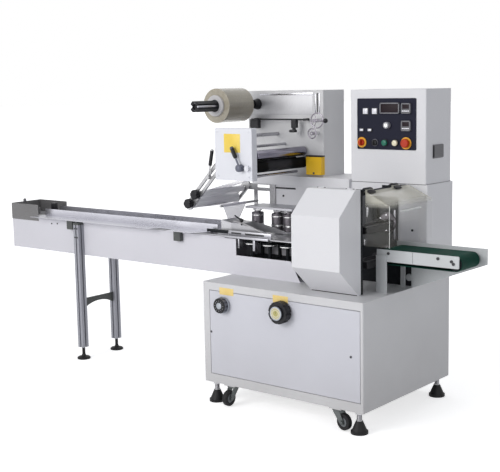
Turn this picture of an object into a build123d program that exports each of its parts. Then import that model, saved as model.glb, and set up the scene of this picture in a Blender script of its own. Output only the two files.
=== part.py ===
from build123d import *
from math import acos, atan2, ceil, cos, degrees, hypot, radians, sin
import os

# Horizontal flow wrapper, in millimetres.
# It is laid out from the floor under the front right corner of the base cabinet:
# +X runs with the product to the discharge end, +Y to the back, +Z up.
# The finished pieces are then moved so that the middle of the whole machine stands on the origin.

# Shared clearances and stock
running_fit = 0.05
seat_gap = 0.3
swing_gap = 6
cut_overrun = 5
thin_sheet = 1.5
cover_sheet = 2
wall_sheet = 3
acrylic_sheet = 5
soft_corner = 6
small_corner = 2

# Base cabinet, standing on four screw feet
cabinet_length = 890
cabinet_depth = 740
cabinet_height = 478
floor_gap = 100
cabinet_top = floor_gap + cabinet_height
door_left_margin = 40
door_right_margin = 14
door_top_margin = 36
door_bottom_margin = 42
door_thickness = 12
door_seam = 2.5

# Screw feet
foot_pad_radius = 38
foot_pad_height = 12
foot_cone_low = 34
foot_cone_high = 15
foot_cone_height = 44
foot_stem_radius = 10
foot_inset_x = 44
foot_inset_y = 36

# Casters, a few millimetres off the floor once the feet are screwed down
caster_inset_x = 148
caster_inset_y = 32
caster_lift = 3
caster_wheel_radius = 37
caster_wheel_width = 24
caster_tyre_round = 5
caster_hub_recess = 4
caster_hub_radius = 22
caster_trail = 34
caster_axle_radius = 5
caster_plate_size = 62
caster_plate_thickness = 5
caster_race_gap = 0.5
caster_race_radius = 27
caster_race_height = 8
caster_kingpin_radius = 8
caster_kingpin_length = 12
caster_leg_thickness = 3
caster_leg_width = 34
caster_leg_gap = 2.5
caster_axle_end = 2
caster_angles = {"front_left": 0, "front_right": 80, "rear_left": 0, "rear_right": 260}

# Adjusting knobs on the cabinet door
dial_inset = 127
dial_x = dial_inset - cabinet_length
dial_height = 480
dial_radius = 36
dial_depth = 26
handwheel_inset = 471
handwheel_x = handwheel_inset - cabinet_length
handwheel_height = 491
handwheel_radius = 50
handwheel_depth = 37
handwheel_hub_radius = 26
handwheel_hub_depth = 11
knob_shaft_radius = 7
knob_stand_off = 6
knob_flute_radius = 4
dial_flutes = 12
handwheel_flutes = 8

# Product line
line_y = 318
product_level = 764

# Rear enclosure behind the product line, and the tower above it
enclosure_front = 513
enclosure_overhang = 8
enclosure_left = -862
enclosure_top = 1025
tower_length = 400
tower_depth = 228
tower_height = 425
tower_left = -tower_length
tower_top = enclosure_top + tower_height
enclosure_back = enclosure_front + tower_depth + enclosure_overhang

# Table under the film column
table_thickness = 46
table_top = 1036
table_left = -985
table_front = enclosure_front - 15
table_bottom = table_top - table_thickness

# Film column
column_left = -1040
column_right = -575
column_front = 542
column_back = 722
column_top = tower_top

# Control panel on the tower front
panel_left = -360
panel_right = -50
panel_rise = 153
panel_height = 232
panel_bottom = enclosure_top + panel_rise
panel_top = panel_bottom + panel_height
panel_thickness = 4
panel_front = enclosure_front - panel_thickness
display_left = -234
display_right = -132
display_rise = 163
display_height = 49
display_bottom = panel_bottom + display_rise
display_top = display_bottom + display_height
display_depth = 9
controller_left = -120
controller_size = 46
controller_depth = 12
controller_rises = (187, 109)
lamp_size = 25
lamp_depth = 7
lamp_rise = 174
lamp_places = (-313, -264)
rocker_width = 22
rocker_tall = 15
rocker_depth = 8
rocker_rise = 88
rocker_places = (-334, -290)
button_row_rise = 31
button_row_height = panel_bottom + button_row_rise
button_places = (-334, -263, -210, -155)
button_radius = 14
button_rim_radius = 17
button_rim_depth = 5
button_depth = 14
stop_x = -98
stop_collar_radius = 26
stop_collar_depth = 4
stop_head_radius = 20
stop_head_depth = 14
stop_head_round = 5
stop_stem_radius = 9
stop_travel = 5
speed_knob_x = -195
speed_knob_rise = 111
speed_knob_height = panel_bottom + speed_knob_rise
speed_knob_radius = 15
speed_knob_depth = 18
speed_knob_taper = 2
speed_knob_gap = 1
speed_knob_stem_radius = 4

# Front plate of the film unit
front_plate_left = -890
front_plate_right = -668
front_plate_bottom = 1045
front_plate_top = 1286
front_plate_face = 110
front_plate_thickness = 36
front_plate_back = front_plate_face + front_plate_thickness

# Bars and rollers between the front plate and the column
upper_bar_x = -850
upper_bar_height = 1239
upper_bar_radius = 9
middle_bar_x = -806
middle_bar_height = 1190
middle_bar_radius = 7
lower_bar_x = -738
lower_bar_height = 1057
lower_bar_radius = 7
roller_shaft_radius = 8
roller_side_gap = 8
roller_bearing_depth = 16
steel_roller_x = -690
steel_roller_height = 1159
steel_roller_radius = 23
rubber_roller_x = -691
rubber_roller_height = 1104
rubber_roller_radius = 26
boss_radius = 13
boss_depth = 16

# Cover over the roller drive at the column
drive_cover_left = -659
drive_cover_width = 90
drive_cover_rise = 10
drive_cover_bottom = table_top + drive_cover_rise
drive_cover_height = 92
drive_cover_depth = 29

# Clamp lever on the front plate
lever_x = -729
lever_height = 1105
lever_hub_radius = 17
lever_hub_depth = 24
lever_hub_gap = 5
lever_rod_radius = 4.5
lever_rod_length = 106
lever_grip_radius = 9
lever_grip_length = 52
lever_lean = 26
lever_pin_radius = 7
lever_pin_depth = 18

# Sloping film arms and their guide rollers
arm_low_x = -1086
arm_low_height = 918
arm_slope = 46.2
arm_width = 44
arm_thickness = 10
arm_tail = 38
arm_reach = 290
arm_slot_width = 14
arm_slot_start = 14
arm_slot_end = 232
rear_arm_reach = 112
rear_arm_slot_end = 70
arm_washer_radius = 13
arm_washer_depth = 4
guide_shaft_radius = 6
guide_knob_radius = 23
guide_knob_depth = 26
guide_knob_lobes = 5
guide_knob_lobe_radius = 7
upper_guide_distance = 64
lower_guide_radius = 25
upper_guide_radius = 15
guide_side_gap = 6
arm_handle_distance = 185
arm_handle_hub_radius = 11
arm_handle_hub_depth = 20
arm_handle_length = 134
arm_handle_radius = 8
arm_handle_rod_radius = 4
arm_handle_grip_length = 78
arm_handle_lean = 12

# Windowed bracket that carries the rear film arm
bracket_left = -1022
bracket_right = -846
bracket_window_rim = 5
bracket_inner_left = -980
bracket_bottom = 872
bracket_ear_bottom = 958
bracket_thickness = 8
bracket_rib = 18
bracket_window_bar = 16
bracket_window_split = 962

# Film reel on its mandrel
reel_x = -976
reel_height = 1385
reel_radius = 82
reel_half_width = 93
reel_front = line_y - reel_half_width
reel_back = line_y + reel_half_width
core_bore_radius = 38
mandrel_tip = 68
mandrel_radius = 12
mandrel_bearing_depth = 40
strip_reach = 27
strip_inner = 10
strip_width = 18
strip_count = 4
strip_turn = 45
chuck_radius = 50
chuck_thickness = 12
brake_radius = 28
brake_nose_radius = 20
brake_length = 36

# Film web
film_thickness = 0.5
film_arc_step = 10
film_margin = 4
former_web_half_width = 48
former_web_x = -958
former_web_height = 836
fold_bar_x = -958
fold_bar_height = 903
fold_bar_radius = 6
fold_bar_front = 216

# Sensor rail and tension wheels on the column front
rail_height = 1311
rail_left = -985
rail_right = -640
rail_radius = 4
rail_stand_off = 40
rail_post_radius = 6
rail_post_inset = 22
rail_block_width = 48
rail_block_height = 44
rail_block_depth = 26
sensor_x = -712
sensor_width = 26
sensor_height = 40
sensor_depth = 22
wheel_post_radius = 8
wheel_x = -576
wheel_drop = 142
wheel_height = column_top - wheel_drop
wheel_radius = 38
wheel_rim_radius = 3
wheel_rim_round = 2.5
wheel_spoke_radius = 2
wheel_hub_radius = 9
wheel_hub_depth = 14
wheel_spokes = 3
wheel_stand_off = 44
wheel_knob_radius = 11
wheel_crank_reach = 66
wheel_crank_gap = 6
wheel_crank_stem_radius = 3
lower_wheel_x = -605
lower_wheel_height = 1246
lower_wheel_radius = 26
wheel_pin_radius = 4

# Forming box over the product line
former_mouth_x = -985
former_throat_x = -930
former_end_x = -866
former_half_width = 55
former_height = 50
former_mouth_half_width = 66
former_mouth_height = 62
former_base = product_level + 6
former_foot = 12
cheek_end_x = -684
cheek_height = 46
cheek_end_height = 10

# Fin seal heads behind the line, their shelf, and the seal wheels under the table
shelf_left = -925
shelf_right = -640
shelf_front = 368
shelf_level = 882
shelf_thickness = 10
head_radius = 30
head_gap_below = 14
head_y = 405
head_places = (-878, -754, -684)
head_neck_radius = 16
head_neck_height = 20
wheel_station_places = (-812, -706, -600)
seal_wheel_radius = 38
seal_wheel_thickness = 14
seal_wheel_rim = 4
seal_wheel_nip = 1
seal_wheel_level = 724
seal_shaft_radius = 9
seal_box_left = -856
seal_box_right = -548
seal_box_half_width = 82
seal_box_height = 78

# End seal: frame, turning jaws, hinged guard and clear cover
jaw_x = -190
jaw_face_radius = 74
jaw_nip = 5
jaw_level = product_level + 6
jaw_shaft_radius = 15
jaw_half_width = 108
jaw_bar_width = 30
jaw_bar_height = 26
jaw_teeth = 7
jaw_tooth_depth = 1.5
jaw_arm_thickness = 22
jaw_arm_width = 40
jaw_hub_radius = 26
jaw_bearing_depth = 20
jaw_rest_angle = 90
frame_left = -330
frame_right = -100
frame_front = 140
frame_thickness = 12
frame_top = 1022
frame_window_margin = 34
rear_block_left = -330
rear_block_right = -10
rear_block_front = 432
rear_block_height = 66
cross_bar_width = 30
cross_bar_height = 16
guard_left = -345
guard_right = -96
guard_back = 130
guard_top_front = 90
guard_top = 1034
guard_shoulder = 929
guard_front = -30
guard_knee = 701
guard_foot_back = 112
guard_hinge_y = 132
guard_hinge_height = 1030
guard_pin_radius = 3
guard_knuckle_radius = 6
guard_knuckle_length = 30
guard_knuckle_places = (-300, -150)
guard_lug_thickness = 5
guard_lug_gap = 0.5
cover_left = -84
cover_right = 35
cover_front = 150
cover_back = 505
cover_ridge = 1024
cover_eave = 970
cover_bottom = 790
cover_hinge_x = -92
cover_hinge_height = 1030
cover_hinge_radius = 7
cover_pin_radius = 3
cover_hinge_length = 54
cover_hinge_places = (177, 388)
cover_lug_thickness = 6
cover_lug_gap = 0.5
exit_half_width = 80
exit_height = 96

# Discharge conveyor
near_rail_y = 232
rail_thickness = 6
near_rail_left = -80
near_rail_right = 316
near_rail_bottom = 716
near_rail_top = 768
far_rail_y = 400
far_rail_right = 359
far_rail_bottom = 714
far_rail_top = 782
far_post_left = -62
far_post_right = -40
gusset_left = -6
near_post_left = -80
near_post_right = -28
belt_radius = 33
belt_thickness = 3
belt_axis_height = 734
belt_nose = 327
belt_tail_x = -50
belt_side_gap = 6
bed_thickness = 40
drum_shaft_radius = 8

# Infeed housing and table
infeed_left = -2548
infeed_right = -480
infeed_front = 213
infeed_back = 422
infeed_panel_top = 752
window_left = -861
window_slope_x = -740
window_bottom = 673
window_right = -534
bed_plate_thickness = 6
bed_end = -300
slot_half_width = 7
slot_start = -2500
slot_end = -1020
fin_slot_half_width = 1

# Product guides of bent sheet, each on two brackets
guide_start = -2312
guide_end = -1016
guide_fence_gap = 56
guide_fence_height = 42
rear_fence_height = 48
guide_flange_level = 770
guide_flange_front = 150
guide_flange_back = 470
notch_left = -1372
notch_right = -1262
notch_depth = 52
notch_round = 20
guide_tip_taper = 92
outer_bracket_x = -2028
inner_bracket_x = -1226
bracket_length = 46
bracket_height = 54
bracket_reach = 26

# Pusher chain, its lugs and sprockets
chain_top = 752
chain_bottom = 668
chain_thickness = 8
chain_width = 12
chain_tail_x = -2496
chain_head_x = -1036
lug_pitch = 240
lug_first = -2440
lug_length = 8
lug_height = 34
sprocket_width = 10
sprocket_shaft_radius = 9

# End cover of the infeed, with its stop block and knob
end_cover_right = -2315
end_cover_bottom = 740
end_cover_top = 831
stop_block_left = -2343
stop_block_length = 32
stop_block_y = 330
stop_block_depth = 22
stop_block_height = 65
end_knob_radius = 8
end_knob_height = 20
end_knob_y = 307

# Infeed legs
leg_left = -1980
leg_size = 40
leg_top = 752
leg_bottom = 66
leg_groove_width = 8
leg_groove_depth = 10
leg_foot_radius = 27
leg_foot_height = 12
leg_stem_radius = 7
cross_bar_level = 335
arch_bar_height = 26
arch_gusset_height = 52
arch_thickness = 10


def block(x0, x1, y0, y1, z0, z1):
    """A box between two corners."""
    middle = Pos((x0 + x1) / 2, (y0 + y1) / 2, (z0 + z1) / 2)
    return middle * Box(abs(x1 - x0), abs(y1 - y0), abs(z1 - z0))


def rod_y(x, z, radius, y0, y1):
    """A round bar that runs from front to back."""
    return Pos(x, (y0 + y1) / 2, z) * Rot(90, 0, 0) * Cylinder(radius, abs(y1 - y0))


def rod_x(y, z, radius, x0, x1):
    """A round bar that runs along the machine."""
    return Pos((x0 + x1) / 2, y, z) * Rot(0, 90, 0) * Cylinder(radius, abs(x1 - x0))


def rod_z(x, y, radius, z0, z1):
    """An upright round bar."""
    return Pos(x, y, (z0 + z1) / 2) * Cylinder(radius, abs(z1 - z0))


def plate_xz(points, y0, y1):
    """A plate of any outline, seen from the front, between two depths."""
    outline = make_face(Polyline(*points, close=True))
    return extrude(Plane.XZ.offset(-y1) * outline, amount=y1 - y0)


def plate_yz(points, x0, x1):
    """A plate of any outline, seen along the machine, between two stations."""
    outline = make_face(Polyline(*points, close=True))
    return extrude(Plane.YZ.offset(x0) * outline, amount=x1 - x0)


def plate_xy(points, z0, z1):
    """A plate of any outline, seen from above, between two levels."""
    outline = make_face(Polyline(*points, close=True))
    return extrude(Plane.XY.offset(z0) * outline, amount=z1 - z0)


def fluted_knob(x, z, radius, depth, flutes, face, shaft_end):
    """A round grip with flutes, on a shaft that runs back into the door."""
    grip = rod_y(x, z, radius, face - depth, face)
    grip = fillet(grip.edges().filter_by(GeomType.CIRCLE).group_by(Axis.Y)[0], small_corner)
    for turn in range(flutes):
        angle = 360 * turn / flutes
        flute = rod_y(radius, 0, knob_flute_radius, face - depth - cut_overrun, face + cut_overrun)
        grip -= Pos(x, 0, z) * Rot(0, angle, 0) * flute
    return grip + rod_y(x, z, knob_shaft_radius, face, shaft_end)


# Base

def caster_centres():
    """The swivel centres of the four casters, by corner."""
    left = -cabinet_length + caster_inset_x
    right = -caster_inset_x
    back = cabinet_depth - caster_inset_y
    return {
        "front_left": (left, caster_inset_y),
        "front_right": (right, caster_inset_y),
        "rear_left": (left, back),
        "rear_right": (right, back),
    }


def foot_centres():
    """The centres of the four screw feet."""
    xs = (-cabinet_length + foot_inset_x, -foot_inset_x)
    ys = (foot_inset_y, cabinet_depth - foot_inset_y)
    return [(x, y) for x in xs for y in ys]


def door_edges():
    """Left, right, bottom and top of the door opening."""
    return (
        -cabinet_length + door_left_margin,
        -door_right_margin,
        floor_gap + door_bottom_margin,
        cabinet_top - door_top_margin,
    )


def base_cabinet():
    """The welded cabinet, with the recess for its door and the caster plates below."""
    body = block(-cabinet_length, 0, 0, cabinet_depth, floor_gap, cabinet_top)
    body = fillet(body.edges().filter_by(Axis.Z), soft_corner)
    left, right, bottom, top = door_edges()
    body -= block(left, right, -cut_overrun, door_thickness, bottom, top)
    for x, y in caster_centres().values():
        half = caster_plate_size / 2
        body += block(x - half, x + half, y - half, y + half, floor_gap - caster_plate_thickness, floor_gap)
        socket = caster_kingpin_radius + running_fit
        low = floor_gap - caster_plate_thickness - cut_overrun
        body -= rod_z(x, y, socket, low, floor_gap + caster_kingpin_length)
    for x, z in ((dial_x, dial_height), (handwheel_x, handwheel_height)):
        body -= rod_y(x, z, knob_shaft_radius + cut_overrun, 0, door_thickness + cut_overrun)
    return body


def base_door():
    """The flush door panel, with the two holes for the adjusting shafts."""
    left, right, bottom, top = door_edges()
    panel = block(left + door_seam, right - door_seam, 0, door_thickness, bottom + door_seam, top - door_seam)
    panel = fillet(panel.edges().filter_by(Axis.Y), small_corner)
    for x, z in ((dial_x, dial_height), (handwheel_x, handwheel_height)):
        panel -= rod_y(x, z, knob_shaft_radius + running_fit, -cut_overrun, door_thickness + cut_overrun)
    return panel


def levelling_feet():
    """Four screw feet: a round pad, a cone and a stem up to the cabinet floor."""
    feet = []
    for x, y in foot_centres():
        foot = rod_z(x, y, foot_pad_radius, 0, foot_pad_height)
        cone = Cone(foot_cone_low, foot_cone_high, foot_cone_height)
        foot += Pos(x, y, foot_pad_height + foot_cone_height / 2) * cone
        feet.append(foot + rod_z(x, y, foot_stem_radius, foot_pad_height, floor_gap))
    return feet


def caster_levels():
    """Height of the axle and of the top of the fork race."""
    axle = caster_lift + caster_wheel_radius
    race_top = floor_gap - caster_plate_thickness - caster_race_gap
    return axle, race_top


def swivelled(corner, piece):
    """A caster piece, drawn trailing to the front, turned to its own direction."""
    x, y = caster_centres()[corner]
    return Pos(x, y, 0) * Rot(0, 0, caster_angles[corner]) * Pos(-x, -y, 0) * piece


def caster_fork(corner):
    """A pressed fork on its kingpin, with the axle through both legs."""
    x, y = caster_centres()[corner]
    axle, race_top = caster_levels()
    race_low = race_top - caster_race_height
    fork = rod_z(x, y, caster_race_radius, race_low, race_top)
    fork += rod_z(x, y, caster_kingpin_radius, race_top, floor_gap + caster_kingpin_length - running_fit)
    inner = caster_wheel_width / 2 + caster_leg_gap
    outer = inner + caster_leg_thickness
    half = caster_leg_width / 2
    wheel_y = y - caster_trail
    outline = [
        (y - half, race_low + caster_race_height / 2),
        (y + half, race_low + caster_race_height / 2),
        (y + half, race_low - caster_race_height),
        (wheel_y + caster_axle_radius * 2, axle - caster_axle_radius * 2),
        (wheel_y - caster_axle_radius * 2, axle - caster_axle_radius * 2),
        (wheel_y - caster_axle_radius * 2, axle + caster_axle_radius),
    ]
    for side in (-1, 1):
        low, high = sorted((x + side * inner, x + side * outer))
        fork += plate_yz(outline, low, high)
    reach = outer + caster_axle_end
    fork += rod_x(wheel_y, axle, caster_axle_radius, x - reach, x + reach)
    return swivelled(corner, fork)


def caster_wheel(corner):
    """A rubber-tyred wheel with a dished hub."""
    x, y = caster_centres()[corner]
    axle = caster_levels()[0]
    half = caster_wheel_width / 2
    wheel_y = y - caster_trail
    wheel = rod_x(wheel_y, axle, caster_wheel_radius, x - half, x + half)
    wheel = fillet(wheel.edges().filter_by(GeomType.CIRCLE), caster_tyre_round)
    for side in (-1, 1):
        rim = x + side * half
        inside = rim - side * caster_hub_recess
        ring = rod_x(wheel_y, axle, caster_hub_radius, inside, rim + side * cut_overrun)
        ring -= rod_x(wheel_y, axle, caster_axle_radius * 2, inside, rim + side * cut_overrun)
        wheel -= ring
    wheel -= rod_x(wheel_y, axle, caster_axle_radius + running_fit, x - half, x + half)
    return swivelled(corner, wheel)


def handwheel():
    """The black handwheel with a raised position dial in its middle."""
    wheel = fluted_knob(
        handwheel_x, handwheel_height, handwheel_radius, handwheel_depth,
        handwheel_flutes, -knob_stand_off, door_thickness,
    )
    face = -knob_stand_off - handwheel_depth
    front = face - handwheel_hub_depth
    hub = rod_y(handwheel_x, handwheel_height, handwheel_hub_radius, front, face)
    return wheel + chamfer(hub.edges().group_by(Axis.Y)[0], small_corner)


def dial_knob():
    """The smaller adjusting knob on the left of the door."""
    return fluted_knob(
        dial_x, dial_height, dial_radius, dial_depth,
        dial_flutes, -knob_stand_off, door_thickness,
    )


# Rear enclosure, table, column and tower

def rear_enclosure():
    """The closed housing behind the line, lower under the film table than under the tower."""
    outline = [
        (enclosure_left, cabinet_top),
        (enclosure_overhang, cabinet_top),
        (enclosure_overhang, enclosure_top),
        (tower_left, enclosure_top),
        (tower_left, table_bottom),
        (enclosure_left, table_bottom),
    ]
    body = plate_xz(outline, enclosure_front, enclosure_back)
    body = fillet(body.edges().filter_by(Axis.Z).group_by(Axis.X)[-1], soft_corner)
    for z in jaw_axis_heights():
        bore = jaw_shaft_radius + running_fit
        body -= rod_y(jaw_x, z, bore, enclosure_front - cut_overrun, enclosure_front + jaw_bearing_depth)
    return body


def unit_table():
    """The thick folded table that carries the film column."""
    table = block(table_left, tower_left, table_front, enclosure_back, table_bottom, table_top)
    return fillet(table.edges().filter_by(Axis.Z).group_by(Axis.X)[0], small_corner)


def film_column():
    """The tall box that holds the film reel and the feed rollers."""
    body = block(column_left, column_right, column_front, column_back, table_top, column_top)
    body = fillet(body.edges().filter_by(Axis.Z), soft_corner)
    reach = column_front - cut_overrun
    bearing_end = column_front + mandrel_bearing_depth
    body -= rod_y(reel_x, reel_height, mandrel_radius + running_fit, reach, bearing_end)
    for x, z in roller_axes():
        bore = roller_shaft_radius + running_fit
        body -= rod_y(x, z, bore, reach, column_front + roller_bearing_depth)
    for x, z in wheel_axes():
        body += rod_y(x, z, wheel_post_radius, column_front - wheel_stand_off, column_front)
        pin_end = column_front - wheel_stand_off
        body += rod_y(x, z, wheel_pin_radius, pin_end - wheel_hub_depth, pin_end)
    return body


def control_box():
    """The upper control box of the tower."""
    back = enclosure_front + tower_depth
    body = block(tower_left, 0, enclosure_front, back, enclosure_top, tower_top)
    return fillet(body.edges().filter_by(Axis.Z), soft_corner)


def control_panel():
    """The dark panel plate on the tower front, with the holes for its two turning controls."""
    plate = block(panel_left, panel_right, panel_front, enclosure_front, panel_bottom, panel_top)
    plate = fillet(plate.edges().filter_by(Axis.Y), soft_corner)
    collar_front = panel_front - stop_collar_depth
    plate += rod_y(stop_x, button_row_height, stop_collar_radius, collar_front, panel_front)
    stem = stop_stem_radius + running_fit
    front = panel_front - stop_collar_depth - cut_overrun
    plate -= rod_y(stop_x, button_row_height, stem, front, enclosure_front)
    bore = speed_knob_stem_radius + running_fit
    return plate - rod_y(speed_knob_x, speed_knob_height, bore, panel_front - cut_overrun, enclosure_front)


def panel_controls():
    """Display, two controllers, lamps, rockers and buttons, standing on the panel."""
    pieces = []
    front = panel_front
    screen = block(display_left, display_right, front - display_depth, front, display_bottom, display_top)
    pieces.append(chamfer(screen.faces().sort_by(Axis.Y)[0].edges(), small_corner))
    for rise in controller_rises:
        z = panel_bottom + rise
        half = controller_size / 2
        right = controller_left + controller_size
        unit = block(controller_left, right, front - controller_depth, front, z - half, z + half)
        pieces.append(chamfer(unit.faces().sort_by(Axis.Y)[0].edges(), small_corner))
    z = panel_bottom + lamp_rise
    for x in lamp_places:
        half = lamp_size / 2
        lamp = block(x - half, x + half, front - lamp_depth, front, z - half, z + half)
        pieces.append(chamfer(lamp.faces().sort_by(Axis.Y)[0].edges(), small_corner))
    z = panel_bottom + rocker_rise
    for x in rocker_places:
        wide = rocker_width / 2
        tall = rocker_tall / 2
        pieces.append(block(x - wide, x + wide, front - rocker_depth, front, z - tall, z + tall))
    for x in button_places:
        rim = rod_y(x, button_row_height, button_rim_radius, front - button_rim_depth, front)
        cap = rod_y(x, button_row_height, button_radius, front - button_depth, front - button_rim_depth)
        cap = fillet(cap.edges().filter_by(GeomType.CIRCLE).group_by(Axis.Y)[0], small_corner)
        pieces.append(rim + cap)
    return pieces


def emergency_stop():
    """The mushroom head of the stop button on its stem."""
    back = panel_front - stop_collar_depth - stop_travel
    front = back - stop_head_depth
    head = rod_y(stop_x, button_row_height, stop_head_radius, front, back)
    head = fillet(head.edges().filter_by(GeomType.CIRCLE).group_by(Axis.Y)[0], stop_head_round)
    stem_end = enclosure_front - stop_travel - running_fit
    return head + rod_y(stop_x, button_row_height, stop_stem_radius, back, stem_end)


def speed_knob():
    """The tapered turning knob under the display."""
    back = panel_front - speed_knob_gap
    base = Pos(speed_knob_x, back, speed_knob_height) * Rot(90, 0, 0)
    knob = base * extrude(Circle(speed_knob_radius), amount=speed_knob_depth, taper=speed_knob_taper)
    return knob + rod_y(speed_knob_x, speed_knob_height, speed_knob_stem_radius, back, enclosure_front)


# Film unit

def roller_axes():
    """The two feed roller axes."""
    return ((steel_roller_x, steel_roller_height), (rubber_roller_x, rubber_roller_height))


def wheel_axes():
    """The two tension wheel axes."""
    return ((wheel_x, wheel_height), (lower_wheel_x, lower_wheel_height))


def front_plate():
    """The white plate in front of the rollers, with blind bearings at its back."""
    plate = block(
        front_plate_left, front_plate_right, front_plate_face, front_plate_back,
        front_plate_bottom, front_plate_top,
    )
    plate = fillet(plate.edges().filter_by(Axis.Y), soft_corner)
    start = front_plate_back - roller_bearing_depth
    for x, z in roller_axes():
        plate -= rod_y(x, z, roller_shaft_radius + running_fit, start, front_plate_back + cut_overrun)
    boss = rod_y(
        rubber_roller_x, rubber_roller_height, boss_radius,
        front_plate_face - boss_depth, front_plate_face,
    )
    bore_start = front_plate_face - cut_overrun
    bore_end = front_plate_face + lever_pin_depth
    bore = rod_y(lever_x, lever_height, lever_pin_radius + running_fit, bore_start, bore_end)
    return plate + boss - bore


def tie_bars():
    """Three steel bars that hold the front plate off the column."""
    bars = (
        (upper_bar_x, upper_bar_height, upper_bar_radius),
        (middle_bar_x, middle_bar_height, middle_bar_radius),
        (lower_bar_x, lower_bar_height, lower_bar_radius),
    )
    return [rod_y(x, z, radius, front_plate_back, column_front) for x, z, radius in bars]


def feed_roller(x, z, radius):
    """A feed roller with its shaft in both bearings."""
    start = front_plate_back + roller_side_gap
    stop = column_front - roller_side_gap
    barrel = rod_y(x, z, radius, start, stop)
    barrel = fillet(barrel.edges().filter_by(GeomType.CIRCLE), small_corner)
    shaft_start = front_plate_back - roller_bearing_depth + running_fit
    shaft_stop = column_front + roller_bearing_depth - running_fit
    return barrel + rod_y(x, z, roller_shaft_radius, shaft_start, shaft_stop)


def drive_cover():
    """The square cover over the roller drive."""
    right = drive_cover_left + drive_cover_width
    top = drive_cover_bottom + drive_cover_height
    front = column_front - drive_cover_depth
    cover = block(drive_cover_left, right, front, column_front, drive_cover_bottom, top)
    return fillet(cover.edges().filter_by(Axis.Y), small_corner)


def clamp_lever():
    """The pressure lever: hub, rod and black grip, leaning left at rest."""
    back = front_plate_face - lever_hub_gap
    front = back - lever_hub_depth
    hub = rod_y(lever_x, lever_height, lever_hub_radius, front, back)
    hub = fillet(hub.edges().filter_by(GeomType.CIRCLE).group_by(Axis.Y)[0], small_corner)
    pin_end = front_plate_face + lever_pin_depth - running_fit
    hub += rod_y(lever_x, lever_height, lever_pin_radius, back, pin_end)
    middle = (front + back) / 2
    rod = rod_z(0, 0, lever_rod_radius, 0, lever_rod_length)
    grip = rod_z(0, 0, lever_grip_radius, lever_rod_length - lever_grip_length, lever_rod_length)
    grip = fillet(grip.edges().filter_by(GeomType.CIRCLE), lever_grip_radius / 2)
    return hub + Pos(lever_x, middle, lever_height) * Rot(0, -lever_lean, 0) * (rod + grip)


def arm_frame(y):
    """A frame at the lower guide axis, with X along the arm and Y to the front."""
    return Pos(arm_low_x, y, arm_low_height) * Rot(0, -arm_slope, 0)


def arm_point(distance):
    """A point on the arm's middle line, as x and height."""
    place = arm_frame(0) * Pos(distance, 0, 0)
    return place.position.X, place.position.Z


def sloping_arm(y, reach, slot_end):
    """A slotted flat arm of a given reach, whose front face lies at a depth."""
    half = arm_width / 2
    bar = block(-arm_tail + half, reach - half, 0, arm_thickness, -half, half)
    for end in (-arm_tail + half, reach - half):
        bar += rod_y(end, 0, half, 0, arm_thickness)
    slot_half = arm_slot_width / 2
    slot = block(-arm_slot_start, slot_end, -cut_overrun, arm_thickness + cut_overrun, -slot_half, slot_half)
    for end in (-arm_slot_start, slot_end):
        slot += rod_y(end, 0, slot_half, -cut_overrun, arm_thickness + cut_overrun)
    return arm_frame(y) * (bar - slot)


def bracket_front_face():
    """Depth of the front face of the windowed bracket."""
    return enclosure_front - bracket_thickness


def film_arms():
    """The two sloping arms: a long one behind the front plate, a short one on a windowed bracket."""
    front = sloping_arm(front_plate_back, arm_reach, arm_slot_end)
    hub_x, hub_z = arm_point(arm_handle_distance)
    hub_front = front_plate_back - arm_handle_hub_depth
    front += rod_y(hub_x, hub_z, arm_handle_hub_radius, hub_front, front_plate_back)
    handle = rod_z(0, 0, arm_handle_rod_radius, 0, arm_handle_length)
    grip = rod_z(0, 0, arm_handle_radius, arm_handle_length - arm_handle_grip_length, arm_handle_length)
    handle += fillet(grip.edges().filter_by(GeomType.CIRCLE), small_corner)
    front += Pos(hub_x, (hub_front + front_plate_back) / 2, hub_z) * Rot(0, arm_handle_lean, 0) * handle
    bracket_front = bracket_front_face()
    outline = [
        (bracket_left, bracket_ear_bottom),
        (bracket_inner_left, bracket_ear_bottom),
        (bracket_inner_left, bracket_bottom),
        (bracket_right, bracket_bottom),
        (bracket_right, table_bottom),
        (bracket_left, table_bottom),
    ]
    bracket = plate_xz(outline, bracket_front, enclosure_front)
    left = bracket_inner_left + bracket_rib
    right = enclosure_left - bracket_rib
    split = bracket_window_bar / 2
    lower_window = (bracket_bottom + bracket_window_bar, bracket_window_split - split)
    upper_window = (bracket_window_split + split, table_bottom - bracket_window_rim)
    for low, high in (lower_window, upper_window):
        bracket -= block(left, right, bracket_front - cut_overrun, enclosure_front + cut_overrun, low, high)
    rear = sloping_arm(bracket_front - arm_thickness, rear_arm_reach, rear_arm_slot_end) + bracket
    rear += rod_y(fold_bar_x, fold_bar_height, fold_bar_radius, fold_bar_front, bracket_front)
    return [front, rear]


def arm_knobs():
    """Two clamping knobs, each on a fixed shaft through both arms."""
    rear_end = bracket_front_face() + arm_washer_depth
    pieces = []
    for distance in (0, upper_guide_distance):
        x, z = arm_point(distance)
        knob_back = front_plate_back - arm_washer_depth
        knob = rod_y(x, z, guide_knob_radius, knob_back - guide_knob_depth, knob_back)
        knob = fillet(knob.edges().filter_by(GeomType.CIRCLE).group_by(Axis.Y)[0], soft_corner)
        for turn in range(guide_knob_lobes):
            lobe = rod_y(guide_knob_radius + small_corner, 0, guide_knob_lobe_radius, -guide_knob_depth, 0)
            knob -= Pos(x, knob_back, z) * Rot(0, 360 * turn / guide_knob_lobes, 0) * lobe
        knob += rod_y(x, z, arm_washer_radius, knob_back, front_plate_back)
        knob += rod_y(x, z, guide_shaft_radius, front_plate_back, rear_end)
        pieces.append(knob)
    return pieces


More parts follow.
